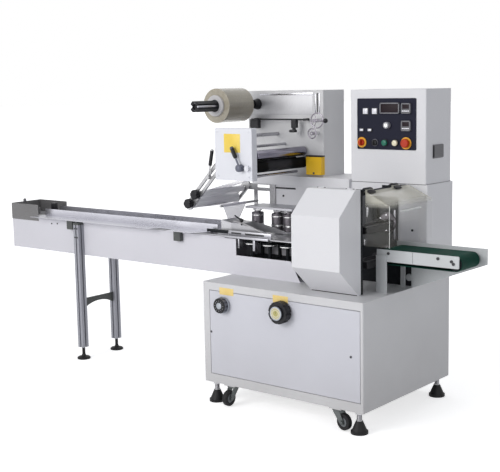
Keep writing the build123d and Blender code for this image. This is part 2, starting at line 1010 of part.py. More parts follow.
def guide_roller(distance, radius):
    """A guide roller tube that turns on its fixed shaft."""
    x, z = arm_point(distance)
    start = front_plate_back + arm_thickness + guide_side_gap
    stop = bracket_front_face() - arm_thickness - guide_side_gap
    tube = rod_y(x, z, radius, start, stop)
    tube = fillet(tube.edges().filter_by(GeomType.CIRCLE), small_corner)
    return tube - rod_y(x, z, guide_shaft_radius + running_fit, start, stop)


def film_mandrel():
    """The expanding mandrel: a shaft, four strips along it, two chucks and the brake hub."""
    shaft_end = column_front + mandrel_bearing_depth - running_fit
    mandrel = rod_y(reel_x, reel_height, mandrel_radius, mandrel_tip + strip_inner, shaft_end)
    half = strip_width / 2
    strip = block(strip_inner, strip_reach, mandrel_tip, reel_back, -half, half)
    strip = chamfer(strip.edges().group_by(Axis.Y)[0], small_corner)
    for turn in range(strip_count):
        angle = strip_turn + 360 * turn / strip_count
        mandrel += Pos(reel_x, 0, reel_height) * Rot(0, angle, 0) * strip
    for start in (reel_front - chuck_thickness, reel_back):
        chuck = rod_y(reel_x, reel_height, chuck_radius, start, start + chuck_thickness)
        mandrel += chamfer(chuck.edges().filter_by(GeomType.CIRCLE), small_corner)
    brake = Cone(brake_radius, brake_nose_radius, brake_length)
    middle = column_front - seat_gap - brake_length / 2
    return mandrel + Pos(reel_x, middle, reel_height) * Rot(90, 0, 0) * brake


def film_roll():
    """The wound film on its core, which stands a little proud."""
    roll = rod_y(reel_x, reel_height, reel_radius, reel_front, reel_back)
    roll = fillet(roll.edges().filter_by(GeomType.CIRCLE), small_corner)
    return roll - rod_y(reel_x, reel_height, core_bore_radius, reel_front, reel_back)


def film_circles():
    """Everything the film runs round, in order: x, height, radius, and 1 for anticlockwise."""
    gap = seat_gap + film_thickness / 2
    upper_x, upper_z = arm_point(upper_guide_distance)
    low_x, low_z = arm_point(0)
    return [
        (reel_x, reel_height, reel_radius + gap, 1),
        (upper_bar_x, upper_bar_height, upper_bar_radius + gap, -1),
        (middle_bar_x, middle_bar_height, middle_bar_radius + gap, 1),
        (rubber_roller_x, rubber_roller_height, rubber_roller_radius + gap, -1),
        (lower_bar_x, lower_bar_height, lower_bar_radius + gap, 1),
        (upper_x, upper_z, upper_guide_radius + gap, 1),
        (low_x, low_z, lower_guide_radius + gap, 1),
        (fold_bar_x, fold_bar_height, fold_bar_radius + gap, -1),
        (former_web_x, former_web_height, 0, 1),
    ]


def tangent_normal(first, second):
    """The left normal, in degrees, of the straight run from one circle to the next."""
    run_x = second[0] - first[0]
    run_z = second[1] - first[1]
    share = (second[3] * second[2] - first[3] * first[2]) / hypot(run_x, run_z)
    return degrees(atan2(run_z, run_x) + acos(share))


def film_points():
    """Middle points of the film with their normals, from the reel to the fold bar."""
    circles = film_circles()
    normals = [tangent_normal(a, b) for a, b in zip(circles, circles[1:])]
    points = [(circles[0], normals[0])]
    for circle, enter, leave in zip(circles[1:-1], normals, normals[1:]):
        turn = (leave - enter) % 360 if circle[3] > 0 else -((enter - leave) % 360)
        steps = max(1, ceil(abs(turn) / film_arc_step))
        points += [(circle, enter + turn * step / steps) for step in range(steps + 1)]
    places = []
    for (x, z, radius, side), angle in points:
        normal_x = cos(radians(angle))
        normal_z = sin(radians(angle))
        places.append((x - side * radius * normal_x, z - side * radius * normal_z, normal_x, normal_z))
    return places


def film_web():
    """One sheet of film from the reel round every bar and roller, then narrowing to the former."""
    half = film_thickness / 2
    width = reel_half_width - film_margin
    points = film_points()
    left = [(x + nx * half, z + nz * half) for x, z, nx, nz in points]
    right = [(x - nx * half, z - nz * half) for x, z, nx, nz in points]
    sheet = plate_xz(left + right[::-1], line_y - width, line_y + width)
    x, z, nx, nz = points[-1]
    ends = []
    for end_x, end_z, reach in ((x, z, width), (former_web_x, former_web_height, former_web_half_width)):
        edge_x = nx * half
        edge_z = nz * half
        corners = (
            Vector(end_x - edge_x, line_y - reach, end_z - edge_z),
            Vector(end_x - edge_x, line_y + reach, end_z - edge_z),
            Vector(end_x + edge_x, line_y + reach, end_z + edge_z),
            Vector(end_x + edge_x, line_y - reach, end_z + edge_z),
        )
        ends.append(make_face(Polyline(*corners, close=True)))
    return sheet + loft(ends)


def sensor_rail():
    """The rail on two posts, with its end block and the print mark sensor."""
    y = column_front - rail_stand_off
    rail = rod_x(y, rail_height, rail_radius, rail_left, rail_right)
    for x in (rail_left + rail_post_inset, rail_right - rail_post_inset):
        rail += rod_y(x, rail_height, rail_post_radius, y, column_front)
    right = rail_left + rail_block_width
    low = rail_height - rail_block_height
    rail += block(rail_left, right, y - rail_block_depth / 2, y + rail_block_depth / 2, low, rail_height)
    half = sensor_width / 2
    low = rail_height - sensor_height
    back = y + rail_radius
    rail += block(sensor_x - half, sensor_x + half, back - sensor_depth, back, low, rail_height)
    return rail


def spoked_wheel(x, z, radius):
    """A thin-rimmed wheel with spokes and a bored hub."""
    hub_back = column_front - wheel_stand_off - seat_gap
    hub_front = hub_back - wheel_hub_depth
    middle = (hub_back + hub_front) / 2
    wheel = rod_y(x, z, radius, middle - wheel_rim_radius, middle + wheel_rim_radius)
    wheel -= rod_y(x, z, radius - wheel_rim_radius * 2, hub_front, hub_back)
    wheel = fillet(wheel.edges().filter_by(GeomType.CIRCLE), wheel_rim_round)
    hub = rod_y(x, z, wheel_hub_radius, hub_front, hub_back)
    for turn in range(wheel_spokes):
        spoke = rod_x(0, 0, wheel_spoke_radius, 0, radius - wheel_rim_radius)
        hub += Pos(x, middle, z) * Rot(0, 360 * turn / wheel_spokes, 0) * spoke
    wheel += hub
    return wheel - rod_y(x, z, wheel_pin_radius + running_fit, hub_front, hub_back)


def tension_wheel():
    """The upper tension wheel, with a crank and its ball knob in front of both wheels."""
    wheel = spoked_wheel(wheel_x, wheel_height, wheel_radius)
    hub_front = column_front - wheel_stand_off - seat_gap - wheel_hub_depth
    ball_y = hub_front - wheel_crank_gap - wheel_knob_radius
    nose = ball_y - wheel_crank_stem_radius
    crank = rod_y(wheel_x, wheel_height, wheel_hub_radius, nose, hub_front)
    ball_x = wheel_x + wheel_crank_reach
    crank += rod_x(ball_y, wheel_height, wheel_crank_stem_radius, wheel_x, ball_x)
    return wheel + crank + Pos(ball_x, ball_y, wheel_height) * Sphere(wheel_knob_radius)


def lower_tension_wheel():
    """The smaller wheel below it."""
    return spoked_wheel(lower_wheel_x, lower_wheel_height, lower_wheel_radius)


# Former and fin seal

def former_section(x, half, height):
    """The former's outline at one station, as an upright rectangle on the line."""
    place = Plane(origin=(x, line_y, former_base + height / 2), x_dir=(0, 1, 0), z_dir=(1, 0, 0))
    return place * Rectangle(half * 2, height)


def forming_box():
    """A flared sheet hood that narrows into a tube, with two cheeks that run on from it."""
    sheet = thin_sheet
    mouth = former_section(former_mouth_x, former_mouth_half_width, former_mouth_height)
    throat = former_section(former_throat_x, former_half_width, former_height)
    outer = loft([mouth, throat])
    inner_height = former_height - sheet
    mouth = former_section(former_mouth_x, former_mouth_half_width - sheet, former_mouth_height - sheet)
    throat = former_section(former_throat_x, former_half_width - sheet, inner_height)
    hood = outer - loft([mouth, throat])
    top = former_base + former_height
    low = line_y - former_half_width
    high = line_y + former_half_width
    tube = block(former_throat_x, former_end_x, low, high, former_base, top)
    hood += tube - block(
        former_throat_x, former_end_x, low + sheet, high - sheet, former_base, top - sheet,
    )
    cheek_top = former_base + cheek_height
    outline = Polyline(
        (former_end_x, cheek_top), (former_end_x, former_base),
        (cheek_end_x, former_base), (cheek_end_x, former_base + cheek_end_height),
    )
    sweep_back = ThreePointArc(
        (cheek_end_x, former_base + cheek_end_height),
        ((former_end_x + cheek_end_x) / 2, former_base + cheek_height * 2 / 3),
        (former_end_x, cheek_top),
    )
    cheek = make_face(outline + sweep_back)
    for y in (low + sheet, high):
        hood += extrude(Plane.XZ.offset(-y) * cheek, amount=sheet)
    feet_x = (former_throat_x, former_end_x - former_foot)
    for x in feet_x:
        for side in (-1, 1):
            edge = line_y + side * former_half_width
            y0, y1 = sorted((edge - side * sheet, edge + side * former_foot))
            hood += block(x, x + former_foot, y0, y1, product_level, former_base + sheet)
    return hood


def seal_shelf():
    """The shelf in front of the enclosure that holds the fin seal heads."""
    outline = [
        (shelf_left, shelf_front),
        (shelf_right, shelf_front),
        (shelf_right, enclosure_front),
        (bracket_right, enclosure_front),
        (bracket_right, bracket_front_face()),
        (shelf_left, bracket_front_face()),
    ]
    return plate_xy(outline, shelf_level, shelf_level + shelf_thickness)


def seal_heads():
    """Three round heads hung under the shelf."""
    heads = []
    bottom = product_level + head_gap_below
    for x in head_places:
        neck_low = shelf_level - head_neck_height
        head = rod_z(x, head_y, head_radius, bottom, neck_low)
        head = chamfer(head.edges().filter_by(GeomType.CIRCLE), small_corner)
        heads.append(head + rod_z(x, head_y, head_neck_radius, neck_low, shelf_level))
    return heads


def fin_seal_wheels():
    """Three pairs of sealing wheels on upright shafts, on their gear box under the table."""
    box_top = cabinet_top + wall_sheet + seal_box_height
    body = block(
        seal_box_left, seal_box_right,
        line_y - seal_box_half_width, line_y + seal_box_half_width,
        cabinet_top + wall_sheet, box_top,
    )
    body = fillet(body.edges().filter_by(Axis.Z), soft_corner)
    for x in wheel_station_places:
        for side in (-1, 1):
            y = line_y + side * (seal_wheel_radius + seal_wheel_nip / 2)
            wheel_top = seal_wheel_level + seal_wheel_thickness
            wheel = rod_z(x, y, seal_wheel_radius, seal_wheel_level, wheel_top)
            recess = rod_z(x, y, seal_wheel_radius - seal_wheel_rim, wheel_top - seal_wheel_rim, wheel_top)
            recess -= rod_z(x, y, seal_shaft_radius * 2, wheel_top - seal_wheel_rim, wheel_top)
            body += wheel - recess
            body += rod_z(x, y, seal_shaft_radius, box_top, seal_wheel_level)
    return body


# End seal

def jaw_axis_heights():
    """Heights of the lower and the upper jaw shaft."""
    reach = jaw_face_radius + jaw_nip / 2
    return jaw_level - reach, jaw_level + reach


def jaw(z, side):
    """A turning jaw: shaft, two arms and a ribbed sealing bar, drawn at the nip and turned to rest."""
    low = line_y - jaw_half_width
    high = line_y + jaw_half_width
    half = jaw_bar_width / 2
    inner = jaw_face_radius - jaw_bar_height
    bar = block(-half, half, low, high, inner, jaw_face_radius) & rod_y(0, 0, jaw_face_radius, low, high)
    pitch = jaw_bar_width / jaw_teeth
    for tooth in range(jaw_teeth - 1):
        x = -half + pitch * (tooth + 1)
        level = (jaw_face_radius ** 2 - x ** 2) ** 0.5
        groove = Pos(x, (low + high) / 2, level) * Rot(0, 45, 0)
        bar -= groove * Box(jaw_tooth_depth, high - low, jaw_tooth_depth)
    arm_half = jaw_arm_width / 2
    for y in (low, high - jaw_arm_thickness):
        bar += block(-arm_half, arm_half, y, y + jaw_arm_thickness, 0, inner + small_corner)
        bar += rod_y(0, 0, jaw_hub_radius, y, y + jaw_arm_thickness)
    shaft_end = enclosure_front + jaw_bearing_depth - running_fit
    bar += rod_y(0, 0, jaw_shaft_radius, frame_front, shaft_end)
    turn = jaw_rest_angle if side > 0 else 180 - jaw_rest_angle
    return Pos(jaw_x, 0, z) * Rot(0, turn, 0) * bar


def jaw_frame():
    """The front bearing plate with its hinge lugs, the cross bar and the dark block at the rear."""
    back = frame_front + frame_thickness
    plate = block(frame_left, frame_right, frame_front, back, cabinet_top, frame_top)
    margin = frame_window_margin
    for z in jaw_axis_heights():
        bore = jaw_shaft_radius + running_fit
        plate -= rod_y(jaw_x, z, bore, frame_front - cut_overrun, back + cut_overrun)
    window_left = frame_left + margin
    window_right = jaw_x - jaw_hub_radius - margin
    plate -= block(
        window_left, window_right, frame_front - cut_overrun, back + cut_overrun,
        cabinet_top + margin * 2, frame_top - margin * 2,
    )
    bar_left = frame_right - cross_bar_width
    bar_low = frame_top - cross_bar_height
    plate += block(bar_left, frame_right, frame_front, enclosure_front, bar_low, frame_top)
    for x in guard_knuckle_places:
        for side in (-1, 1):
            inner = guard_knuckle_length / 2 + guard_lug_gap
            outer = inner + guard_lug_thickness
            x0, x1 = sorted((x + side * inner, x + side * outer))
            lug = rod_x(guard_hinge_y, guard_hinge_height, guard_knuckle_radius, x0, x1)
            low = guard_hinge_height - guard_knuckle_radius
            lug += block(x0, x1, guard_hinge_y, back, low, guard_hinge_height)
            plate += lug
            plate += block(x0, x1, frame_front, back, frame_top - small_corner, guard_hinge_height)
        reach = guard_knuckle_length / 2 + guard_lug_gap + guard_lug_thickness
        plate += rod_x(guard_hinge_y, guard_hinge_height, guard_pin_radius, x - reach, x + reach)
    for y in cover_hinge_places:
        for side in (-1, 1):
            inner = cover_hinge_length / 2 + cover_lug_gap
            outer = inner + cover_lug_thickness
            y0, y1 = sorted((y + side * inner, y + side * outer))
            lug = rod_y(cover_hinge_x, cover_hinge_height, cover_hinge_radius, y0, y1)
            low = cover_hinge_height - cover_hinge_radius
            lug += block(bar_left, cover_hinge_x, y0, y1, low, cover_hinge_height + cover_pin_radius)
            lug += block(bar_left, frame_right, y0, y1, bar_low, cover_hinge_height)
            plate += lug
        reach = cover_hinge_length / 2 + cover_lug_gap + cover_lug_thickness
        plate += rod_y(cover_hinge_x, cover_hinge_height, cover_pin_radius, y - reach, y + reach)
    rear = block(
        rear_block_left, rear_block_right, rear_block_front, enclosure_front,
        cabinet_top, cabinet_top + rear_block_height,
    )
    return [plate, fillet(rear.edges().filter_by(Axis.Z), small_corner)]


def guard_outline(inset):
    """The guard's side outline, drawn in by a sheet thickness where asked."""
    back = guard_back + (cut_overrun if inset else 0)
    return [
        (back, cabinet_top + seat_gap + inset),
        (guard_foot_back - inset / 2, cabinet_top + seat_gap + inset),
        (guard_front + inset, guard_knee + inset / 2),
        (guard_front + inset, guard_shoulder - inset / 2),
        (guard_top_front + inset / 2, guard_top - inset),
        (back, guard_top - inset),
    ]


def end_seal_guard():
    """The white sheet guard, open at the back, with two hinge knuckles on its top edge."""
    shell = plate_yz(guard_outline(0), guard_left, guard_right)
    shell = fillet(shell.edges().filter_by(Axis.X).group_by(Axis.Y)[0], small_corner)
    shell -= plate_yz(guard_outline(cover_sheet), guard_left + cover_sheet, guard_right - cover_sheet)
    clear = guard_knuckle_radius + cover_sheet
    shell -= block(
        guard_left + clear, guard_right - clear,
        guard_hinge_y - clear, guard_back + cut_overrun,
        guard_hinge_height - clear, guard_top + cut_overrun,
    )
    for x in guard_knuckle_places:
        half = guard_knuckle_length / 2
        knuckle = rod_x(guard_hinge_y, guard_hinge_height, guard_knuckle_radius, x - half, x + half)
        tongue_top = guard_top
        knuckle += block(
            x - half, x + half, guard_hinge_y - clear - cover_sheet, guard_hinge_y,
            tongue_top - cover_sheet, tongue_top,
        )
        shell += knuckle
        shell -= rod_x(guard_hinge_y, guard_hinge_height, guard_pin_radius + running_fit, x - half, x + half)
    return shell


def cover_outline(inset):
    """The clear cover's outline, seen from the front."""
    left = cover_left - (cut_overrun if inset else 0)
    bottom = cover_bottom - (cut_overrun if inset else 0)
    return [
        (left, cover_ridge - inset),
        (left, bottom),
        (cover_right - inset, bottom),
        (cover_right - inset, cover_eave - inset / 2),
        (cover_left, cover_ridge - inset),
    ]


def clear_cover():
    """The clear cover: sloped top, right wall with the product exit, front wall and two knuckles."""
    shell = plate_xz(cover_outline(0)[:4], cover_front, cover_back)
    inner = cover_outline(acrylic_sheet)
    shell -= plate_xz(inner, cover_front + acrylic_sheet, cover_back + cut_overrun)
    shell -= block(
        cover_right - acrylic_sheet - cut_overrun, cover_right + cut_overrun,
        line_y - exit_half_width, line_y + exit_half_width,
        cover_bottom - cut_overrun, cover_bottom + exit_height,
    )
    for y in cover_hinge_places:
        half = cover_hinge_length / 2
        knuckle = rod_y(cover_hinge_x, cover_hinge_height, cover_hinge_radius, y - half, y + half)
        low = cover_ridge - acrylic_sheet / 2
        knuckle += block(
            cover_hinge_x, cover_left + cover_hinge_radius, y - half, y + half,
            low, cover_hinge_height + cover_pin_radius,
        )
        shell += knuckle
        shell -= rod_y(cover_hinge_x, cover_hinge_height, cover_pin_radius + running_fit, y - half, y + half)
    return shell


# Discharge conveyor

def discharge_near_rail():
    """The front rail and its post."""
    rail = block(
        near_rail_left, near_rail_right, near_rail_y, near_rail_y + rail_thickness,
        near_rail_bottom, near_rail_top,
    )
    rail = fillet(rail.edges().filter_by(Axis.Y).group_by(Axis.X)[-1], soft_corner)
    post = block(
        near_post_left, near_post_right, near_rail_y - rail_thickness, near_rail_y,
        cabinet_top, near_rail_bottom + (near_rail_top - near_rail_bottom) / 2,
    )
    return rail + post


def discharge_far_plate():
    """The taller rear plate, with its gusset down to the base and a post."""
    outline = [
        (near_rail_left, far_rail_top),
        (near_rail_left, far_rail_bottom),
        (far_post_left, far_rail_bottom),
        (far_post_left, cabinet_top),
        (far_post_right, cabinet_top),
        (far_post_right, far_rail_bottom),
        (gusset_left, far_rail_bottom),
        (gusset_left, cabinet_top),
        (0, cabinet_top),
        (far_rail_right, far_rail_bottom),
        (far_rail_right, far_rail_top),
    ]
    return plate_xz(outline, far_rail_y, far_rail_y + rail_thickness)


def belt_loop(radius, y0, y1):
    """A slot-shaped slab round the two drum axes."""
    nose_x = belt_nose - belt_radius
    body = block(belt_tail_x, nose_x, y0, y1, belt_axis_height - radius, belt_axis_height + radius)
    for x in (belt_tail_x, nose_x):
        body += rod_y(x, belt_axis_height, radius, y0, y1)
    return body


def discharge_belt():
    """The belt as one closed loop."""
    start = near_rail_y + rail_thickness + belt_side_gap
    stop = far_rail_y - belt_side_gap
    outer = belt_loop(belt_radius, start, stop)
    return outer - belt_loop(belt_radius - belt_thickness, start - cut_overrun, stop + cut_overrun)


def discharge_bed():
    """The slider bed and the two drums inside the belt."""
    inner = belt_radius - belt_thickness
    start = near_rail_y + rail_thickness
    nose_x = belt_nose - belt_radius
    half = bed_thickness / 2
    bed = block(
        belt_tail_x + inner + swing_gap, nose_x - inner - swing_gap, start, far_rail_y,
        belt_axis_height - half, belt_axis_height + half,
    )
    pieces = [bed]
    for x in (belt_tail_x, nose_x):
        drum = rod_y(x, belt_axis_height, inner - seat_gap, start + belt_side_gap, far_rail_y - belt_side_gap)
        pieces.append(drum + rod_y(x, belt_axis_height, drum_shaft_radius, start, far_rail_y))
    return pieces


# Infeed

def infeed_front_panel():
    """The long white front panel, stepped down where the seal wheels show."""
    outline = [
        (infeed_left, cabinet_top),
        (infeed_right, cabinet_top),
        (window_right, window_bottom),
        (window_slope_x, window_bottom),
        (window_left, window_bottom),
        (window_left, infeed_panel_top),
        (infeed_left, infeed_panel_top),
    ]
    return plate_xz(outline, infeed_front, infeed_front + cover_sheet)


def infeed_housing():
    """The folded rear wall, floor and left end of the infeed."""
    front = infeed_front + cover_sheet
    low = cabinet_top
    high = infeed_panel_top
    wall = block(infeed_left, infeed_right, infeed_back - cover_sheet, infeed_back, low, high)
    floor = block(infeed_left, infeed_right, front, infeed_back, low, low + wall_sheet)
    end = block(infeed_left, infeed_left + cover_sheet, front, infeed_back, low, high)
    return wall + floor + end


def infeed_bed():
    """The long table plate with the pusher slot, on to the end seal."""
    level = product_level - bed_plate_thickness
    low = infeed_front + cover_sheet
    high = infeed_back - cover_sheet
    plate = block(infeed_left + cover_sheet, bed_end, low, high, level, product_level)
    slot = block(
        slot_start, slot_end, line_y - slot_half_width, line_y + slot_half_width,
        level - cut_overrun, product_level + cut_overrun,
    )
    fin_slot = block(
        former_end_x, bed_end + cut_overrun, line_y - fin_slot_half_width, line_y + fin_slot_half_width,
        level - cut_overrun, product_level + cut_overrun,
    )
    return plate - slot - fin_slot


def guide_sheet(side):
    """One bent guide sheet: flange, fence, and on the front one a rounded notch."""
    sheet = thin_sheet
    fence = line_y + side * guide_fence_gap
    edge = guide_flange_front if side < 0 else guide_flange_back
    height = guide_fence_height if side < 0 else rear_fence_height
    y0, y1 = sorted((fence, fence + side * sheet))
    upright = block(guide_start, guide_end, y0, y1, product_level, product_level + height)
    outline = [
        (guide_start, fence),
        (guide_end, fence),
        (guide_end - guide_tip_taper, edge),
        (guide_start, edge),
    ]
    flange = plate_xy(outline, guide_flange_level, guide_flange_level + sheet)
    if side < 0:
        notch = block(
            notch_left, notch_right, edge - cut_overrun, edge + notch_depth,
            guide_flange_level - cut_overrun, guide_flange_level + cut_overrun,
        )
        inner_edges = notch.edges().filter_by(Axis.Z).group_by(Axis.Y)[-1]
        flange -= fillet(inner_edges, notch_round)
    return upright + flange


def product_guides():
    """The front and the rear guide."""
    return [guide_sheet(-1), guide_sheet(1)]


def guide_brackets():
    """Dark brackets on the outer faces of the housing, under the guide flanges."""
    pieces = []
    for x in (outer_bracket_x, inner_bracket_x):
        for face, side in ((infeed_front, -1), (infeed_back, 1)):
            y0, y1 = sorted((face, face + side * bracket_reach))
            low = guide_flange_level - bracket_height
            piece = block(x - bracket_length / 2, x + bracket_length / 2, y0, y1, low, guide_flange_level)
            pieces.append(chamfer(piece.edges().filter_by(Axis.Z), small_corner))
    return pieces


def chain_loop(radius, y0, y1):
    """A slot-shaped slab round the two sprocket axes."""
    middle = (chain_top + chain_bottom) / 2
    body = block(chain_tail_x, chain_head_x, y0, y1, middle - radius, middle + radius)
    for x in (chain_tail_x, chain_head_x):
        body += rod_y(x, middle, radius, y0, y1)
    return body


def pusher_chain():
    """The chain as one closed loop with pusher lugs, and its two sprockets on their shafts."""
    radius = (chain_top - chain_bottom) / 2
    middle = (chain_top + chain_bottom) / 2
    low = line_y - chain_width / 2
    high = line_y + chain_width / 2
    chain = chain_loop(radius, low, high)
    chain -= chain_loop(radius - chain_thickness, low - cut_overrun, high + cut_overrun)
    x = lug_first
    while x < chain_head_x:
        top = product_level + lug_height
        chain += block(x, x + lug_length, low, high, chain_top - chain_thickness / 2, top)
        x += lug_pitch
    pieces = [chain]
    for x in (chain_tail_x, chain_head_x):
        half = sprocket_width / 2
        disc = rod_y(x, middle, radius - chain_thickness - seat_gap, line_y - half, line_y + half)
        shaft = rod_y(x, middle, sprocket_shaft_radius, infeed_front + cover_sheet, infeed_back - cover_sheet)
        pieces.append(disc + shaft)
    return pieces


def infeed_end_cover():
    """The folded cover round the end of the table, with a small knob; and the black stop block."""
    left = infeed_left - cover_sheet
    front = infeed_front - cover_sheet
    back = infeed_back + cover_sheet
    cover = block(left, end_cover_right, front, back, end_cover_bottom, end_cover_top)
    cover -= block(
        infeed_left, end_cover_right + cut_overrun, infeed_front, infeed_back,
        end_cover_bottom - cut_overrun, end_cover_top + cut_overrun,
    )
    knob_x = infeed_left - cover_sheet / 2
    knob = rod_z(knob_x, end_knob_y, cover_sheet / 2, end_cover_top - end_knob_height, end_cover_top)
    ball = Pos(knob_x, end_knob_y, end_cover_top + end_knob_radius) * Sphere(end_knob_radius)
    cover += knob + ball
    stop_right = stop_block_left + stop_block_length
    stop = block(
        stop_block_left, stop_right, stop_block_y, stop_block_y + stop_block_depth,
        product_level, product_level + stop_block_height,
    )
    return [cover, fillet(stop.edges().filter_by(Axis.Z), small_corner)]


def infeed_legs():
    """Two grooved profile legs outside the housing, each on a screw foot."""
    pieces = []
    for y in (infeed_front - leg_size, infeed_back):
        leg = block(leg_left, leg_left + leg_size, y, y + leg_size, leg_bottom, leg_top)
        centre_x = leg_left + leg_size / 2
        centre_y = y + leg_size / 2
        half = leg_groove_width / 2
        reach = leg_size / 2
        for dx, dy in ((1, 0), (-1, 0), (0, 1), (0, -1)):
            cx = centre_x + dx * reach
            cy = centre_y + dy * reach
            wide_x = leg_groove_depth if dx else half
            wide_y = leg_groove_depth if dy else half
            leg -= block(cx - wide_x, cx + wide_x, cy - wide_y, cy + wide_y, leg_bottom, leg_top)
        leg += rod_z(centre_x, centre_y, leg_stem_radius, leg_foot_height, leg_bottom)
        foot = rod_z(centre_x, centre_y, leg_foot_radius, 0, leg_foot_height)
        leg += chamfer(foot.edges().group_by(Axis.Z)[-1], small_corner)
        pieces.append(leg)
    return pieces


def leg_cross_bar():
    """The dark bar between the legs, arched down into gussets."""
    top = cross_bar_level
    low = top - arch_gusset_height
    middle = (infeed_front + infeed_back) / 2
    outline = Polyline((infeed_front, low), (infeed_front, top), (infeed_back, top), (infeed_back, low))
    arch = ThreePointArc((infeed_back, low), (middle, top - arch_bar_height), (infeed_front, low))
    centre_x = leg_left + leg_size / 2
    face = Plane.YZ.offset(centre_x - arch_thickness / 2) * make_face(outline + arch)
    return extrude(face, amount=arch_thickness)


def machine_origin():
    """The point under the middle of the whole machine."""
    left = infeed_left - cover_sheet - end_knob_radius + cover_sheet / 2
    right = far_rail_right
    front = -knob_stand_off - handwheel_depth - handwheel_hub_depth
    back = enclosure_back
    return (left + right) / 2, (front + back) / 2


def save(name, shapes):
    """Writes one sub-part, moved into the machine's own frame."""
    if not isinstance(shapes, (list, tuple)):
        shapes = [shapes]
    x, y = machine_origin()
    solids = [solid.moved(Location((-x, -y, 0))) for shape in shapes for solid in shape.solids()]
    export_step(Compound(solids), "parts/" + name + ".step")


def build():
    """Builds and writes every sub-part."""
    os.makedirs("parts", exist_ok=True)
    save("base_cabinet", base_cabinet())
    save("base_door", base_door())
    save("levelling_feet", levelling_feet())
    for corner in caster_angles:
        save("caster_fork_" + corner, caster_fork(corner))
        save("caster_wheel_" + corner, caster_wheel(corner))
    save("dial_knob", dial_knob())
    save("handwheel", handwheel())
    save("rear_enclosure", rear_enclosure())
    save("unit_table", unit_table())
    save("film_column", film_column())
    save("control_box", control_box())
    save("control_panel", control_panel())
    save("panel_controls", panel_controls())
    save("emergency_stop", emergency_stop())
    save("speed_knob", speed_knob())
    save("front_plate", front_plate())
    save("tie_bars", tie_bars())
    save("steel_roller", feed_roller(steel_roller_x, steel_roller_height, steel_roller_radius))
    save("rubber_roller", feed_roller(rubber_roller_x, rubber_roller_height, rubber_roller_radius))
    save("drive_cover", drive_cover())
    save("clamp_lever", clamp_lever())
    save("film_arms", film_arms())
    save("arm_knobs", arm_knobs())
    save("guide_roller_lower", guide_roller(0, lower_guide_radius))
    save("guide_roller_upper", guide_roller(upper_guide_distance, upper_guide_radius))
    save("film_mandrel", film_mandrel())
    save("film_roll", film_roll())
    save("film_web", film_web())
    save("sensor_rail", sensor_rail())
    save("tension_wheel", tension_wheel())
    save("lower_tension_wheel", lower_tension_wheel())
    save("forming_box", forming_box())
    save("seal_shelf", seal_shelf())
    save("seal_heads", seal_heads())
    save("fin_seal_wheels", fin_seal_wheels())
    lower, upper = jaw_axis_heights()
    save("lower_jaw", jaw(lower, 1))
    save("upper_jaw", jaw(upper, -1))
    save("jaw_frame", jaw_frame())
    save("end_seal_guard", end_seal_guard())
    save("clear_cover", clear_cover())
    save("discharge_near_rail", discharge_near_rail())
    save("discharge_far_plate", discharge_far_plate())
    save("discharge_belt", discharge_belt())
    save("discharge_bed", discharge_bed())
    save("infeed_front_panel", infeed_front_panel())
    save("infeed_housing", infeed_housing())
    save("infeed_bed", infeed_bed())
    save("product_guides", product_guides())
    save("guide_brackets", guide_brackets())
    save("pusher_chain", pusher_chain())
    save("infeed_end_cover", infeed_end_cover())
    save("infeed_legs", infeed_legs())
    save("leg_cross_bar", leg_cross_bar())


build()
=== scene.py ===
import math

import bmesh
import bpy
from mathutils import Matrix, Vector


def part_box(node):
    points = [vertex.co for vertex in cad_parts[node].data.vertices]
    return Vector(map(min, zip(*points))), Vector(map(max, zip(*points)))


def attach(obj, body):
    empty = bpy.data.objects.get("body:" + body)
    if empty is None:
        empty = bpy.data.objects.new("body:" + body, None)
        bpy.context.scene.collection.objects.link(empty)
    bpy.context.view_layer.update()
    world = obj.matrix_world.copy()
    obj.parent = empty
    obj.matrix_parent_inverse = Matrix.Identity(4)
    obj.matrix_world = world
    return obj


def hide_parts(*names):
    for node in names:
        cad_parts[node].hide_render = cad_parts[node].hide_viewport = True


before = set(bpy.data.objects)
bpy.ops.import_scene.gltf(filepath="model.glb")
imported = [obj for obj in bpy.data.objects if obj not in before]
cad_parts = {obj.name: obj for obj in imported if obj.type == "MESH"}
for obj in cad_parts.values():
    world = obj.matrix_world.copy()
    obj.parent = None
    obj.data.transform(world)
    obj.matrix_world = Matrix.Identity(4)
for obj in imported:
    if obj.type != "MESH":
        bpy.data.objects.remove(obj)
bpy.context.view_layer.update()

# ---- Standpoint, floor and light ----
# Measures below are millimetres from the floor under the base cabinet's front right corner:
# x along the machine, y to the back, z up. The viewer stands at the right front, at eye height.
cabinet_low, cabinet_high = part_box("base_cabinet")
front_way = (0, -1, 0)
up_way = (0, 0, 1)


def at(x, y, z):
    """A place on the machine, in metres in the model's frame."""
    return Vector((cabinet_high[0] + x / 1000, cabinet_low[1] + y / 1000, z / 1000))


def put_in(name, data):
    """Puts a new object in the scene."""
    thing = bpy.data.objects.new(name, data)
    bpy.context.scene.collection.objects.link(thing)
    return thing


eye_place = at(2336.2, -3585.6, 1489.4)
eye_turn = math.radians(39.3)
eye_tilt = math.radians(8.3)
eye_roll = math.radians(-1.1)
sensor_width = 36
picture_width = 500
focal_length = 1047.7
ahead = Vector((-math.sin(eye_turn) * math.cos(eye_tilt), math.cos(eye_turn) * math.cos(eye_tilt), -math.sin(eye_tilt)))
level = Vector((math.cos(eye_turn), math.sin(eye_turn), 0))
upright = level.cross(ahead)
right = level * math.cos(eye_roll) + upright * math.sin(eye_roll)
up = upright * math.cos(eye_roll) - level * math.sin(eye_roll)
eye = put_in("viewer", bpy.data.cameras.new("viewer"))
eye.data.sensor_fit = "HORIZONTAL"
eye.data.sensor_width = sensor_width
eye.data.lens = sensor_width * focal_length / picture_width
eye.data.clip_end = 200
eye.matrix_world = Matrix.Translation(eye_place) @ Matrix((right, up, -ahead)).transposed().to_4x4()
bpy.context.scene.camera = eye
bpy.context.scene.view_settings.view_transform = "Standard"


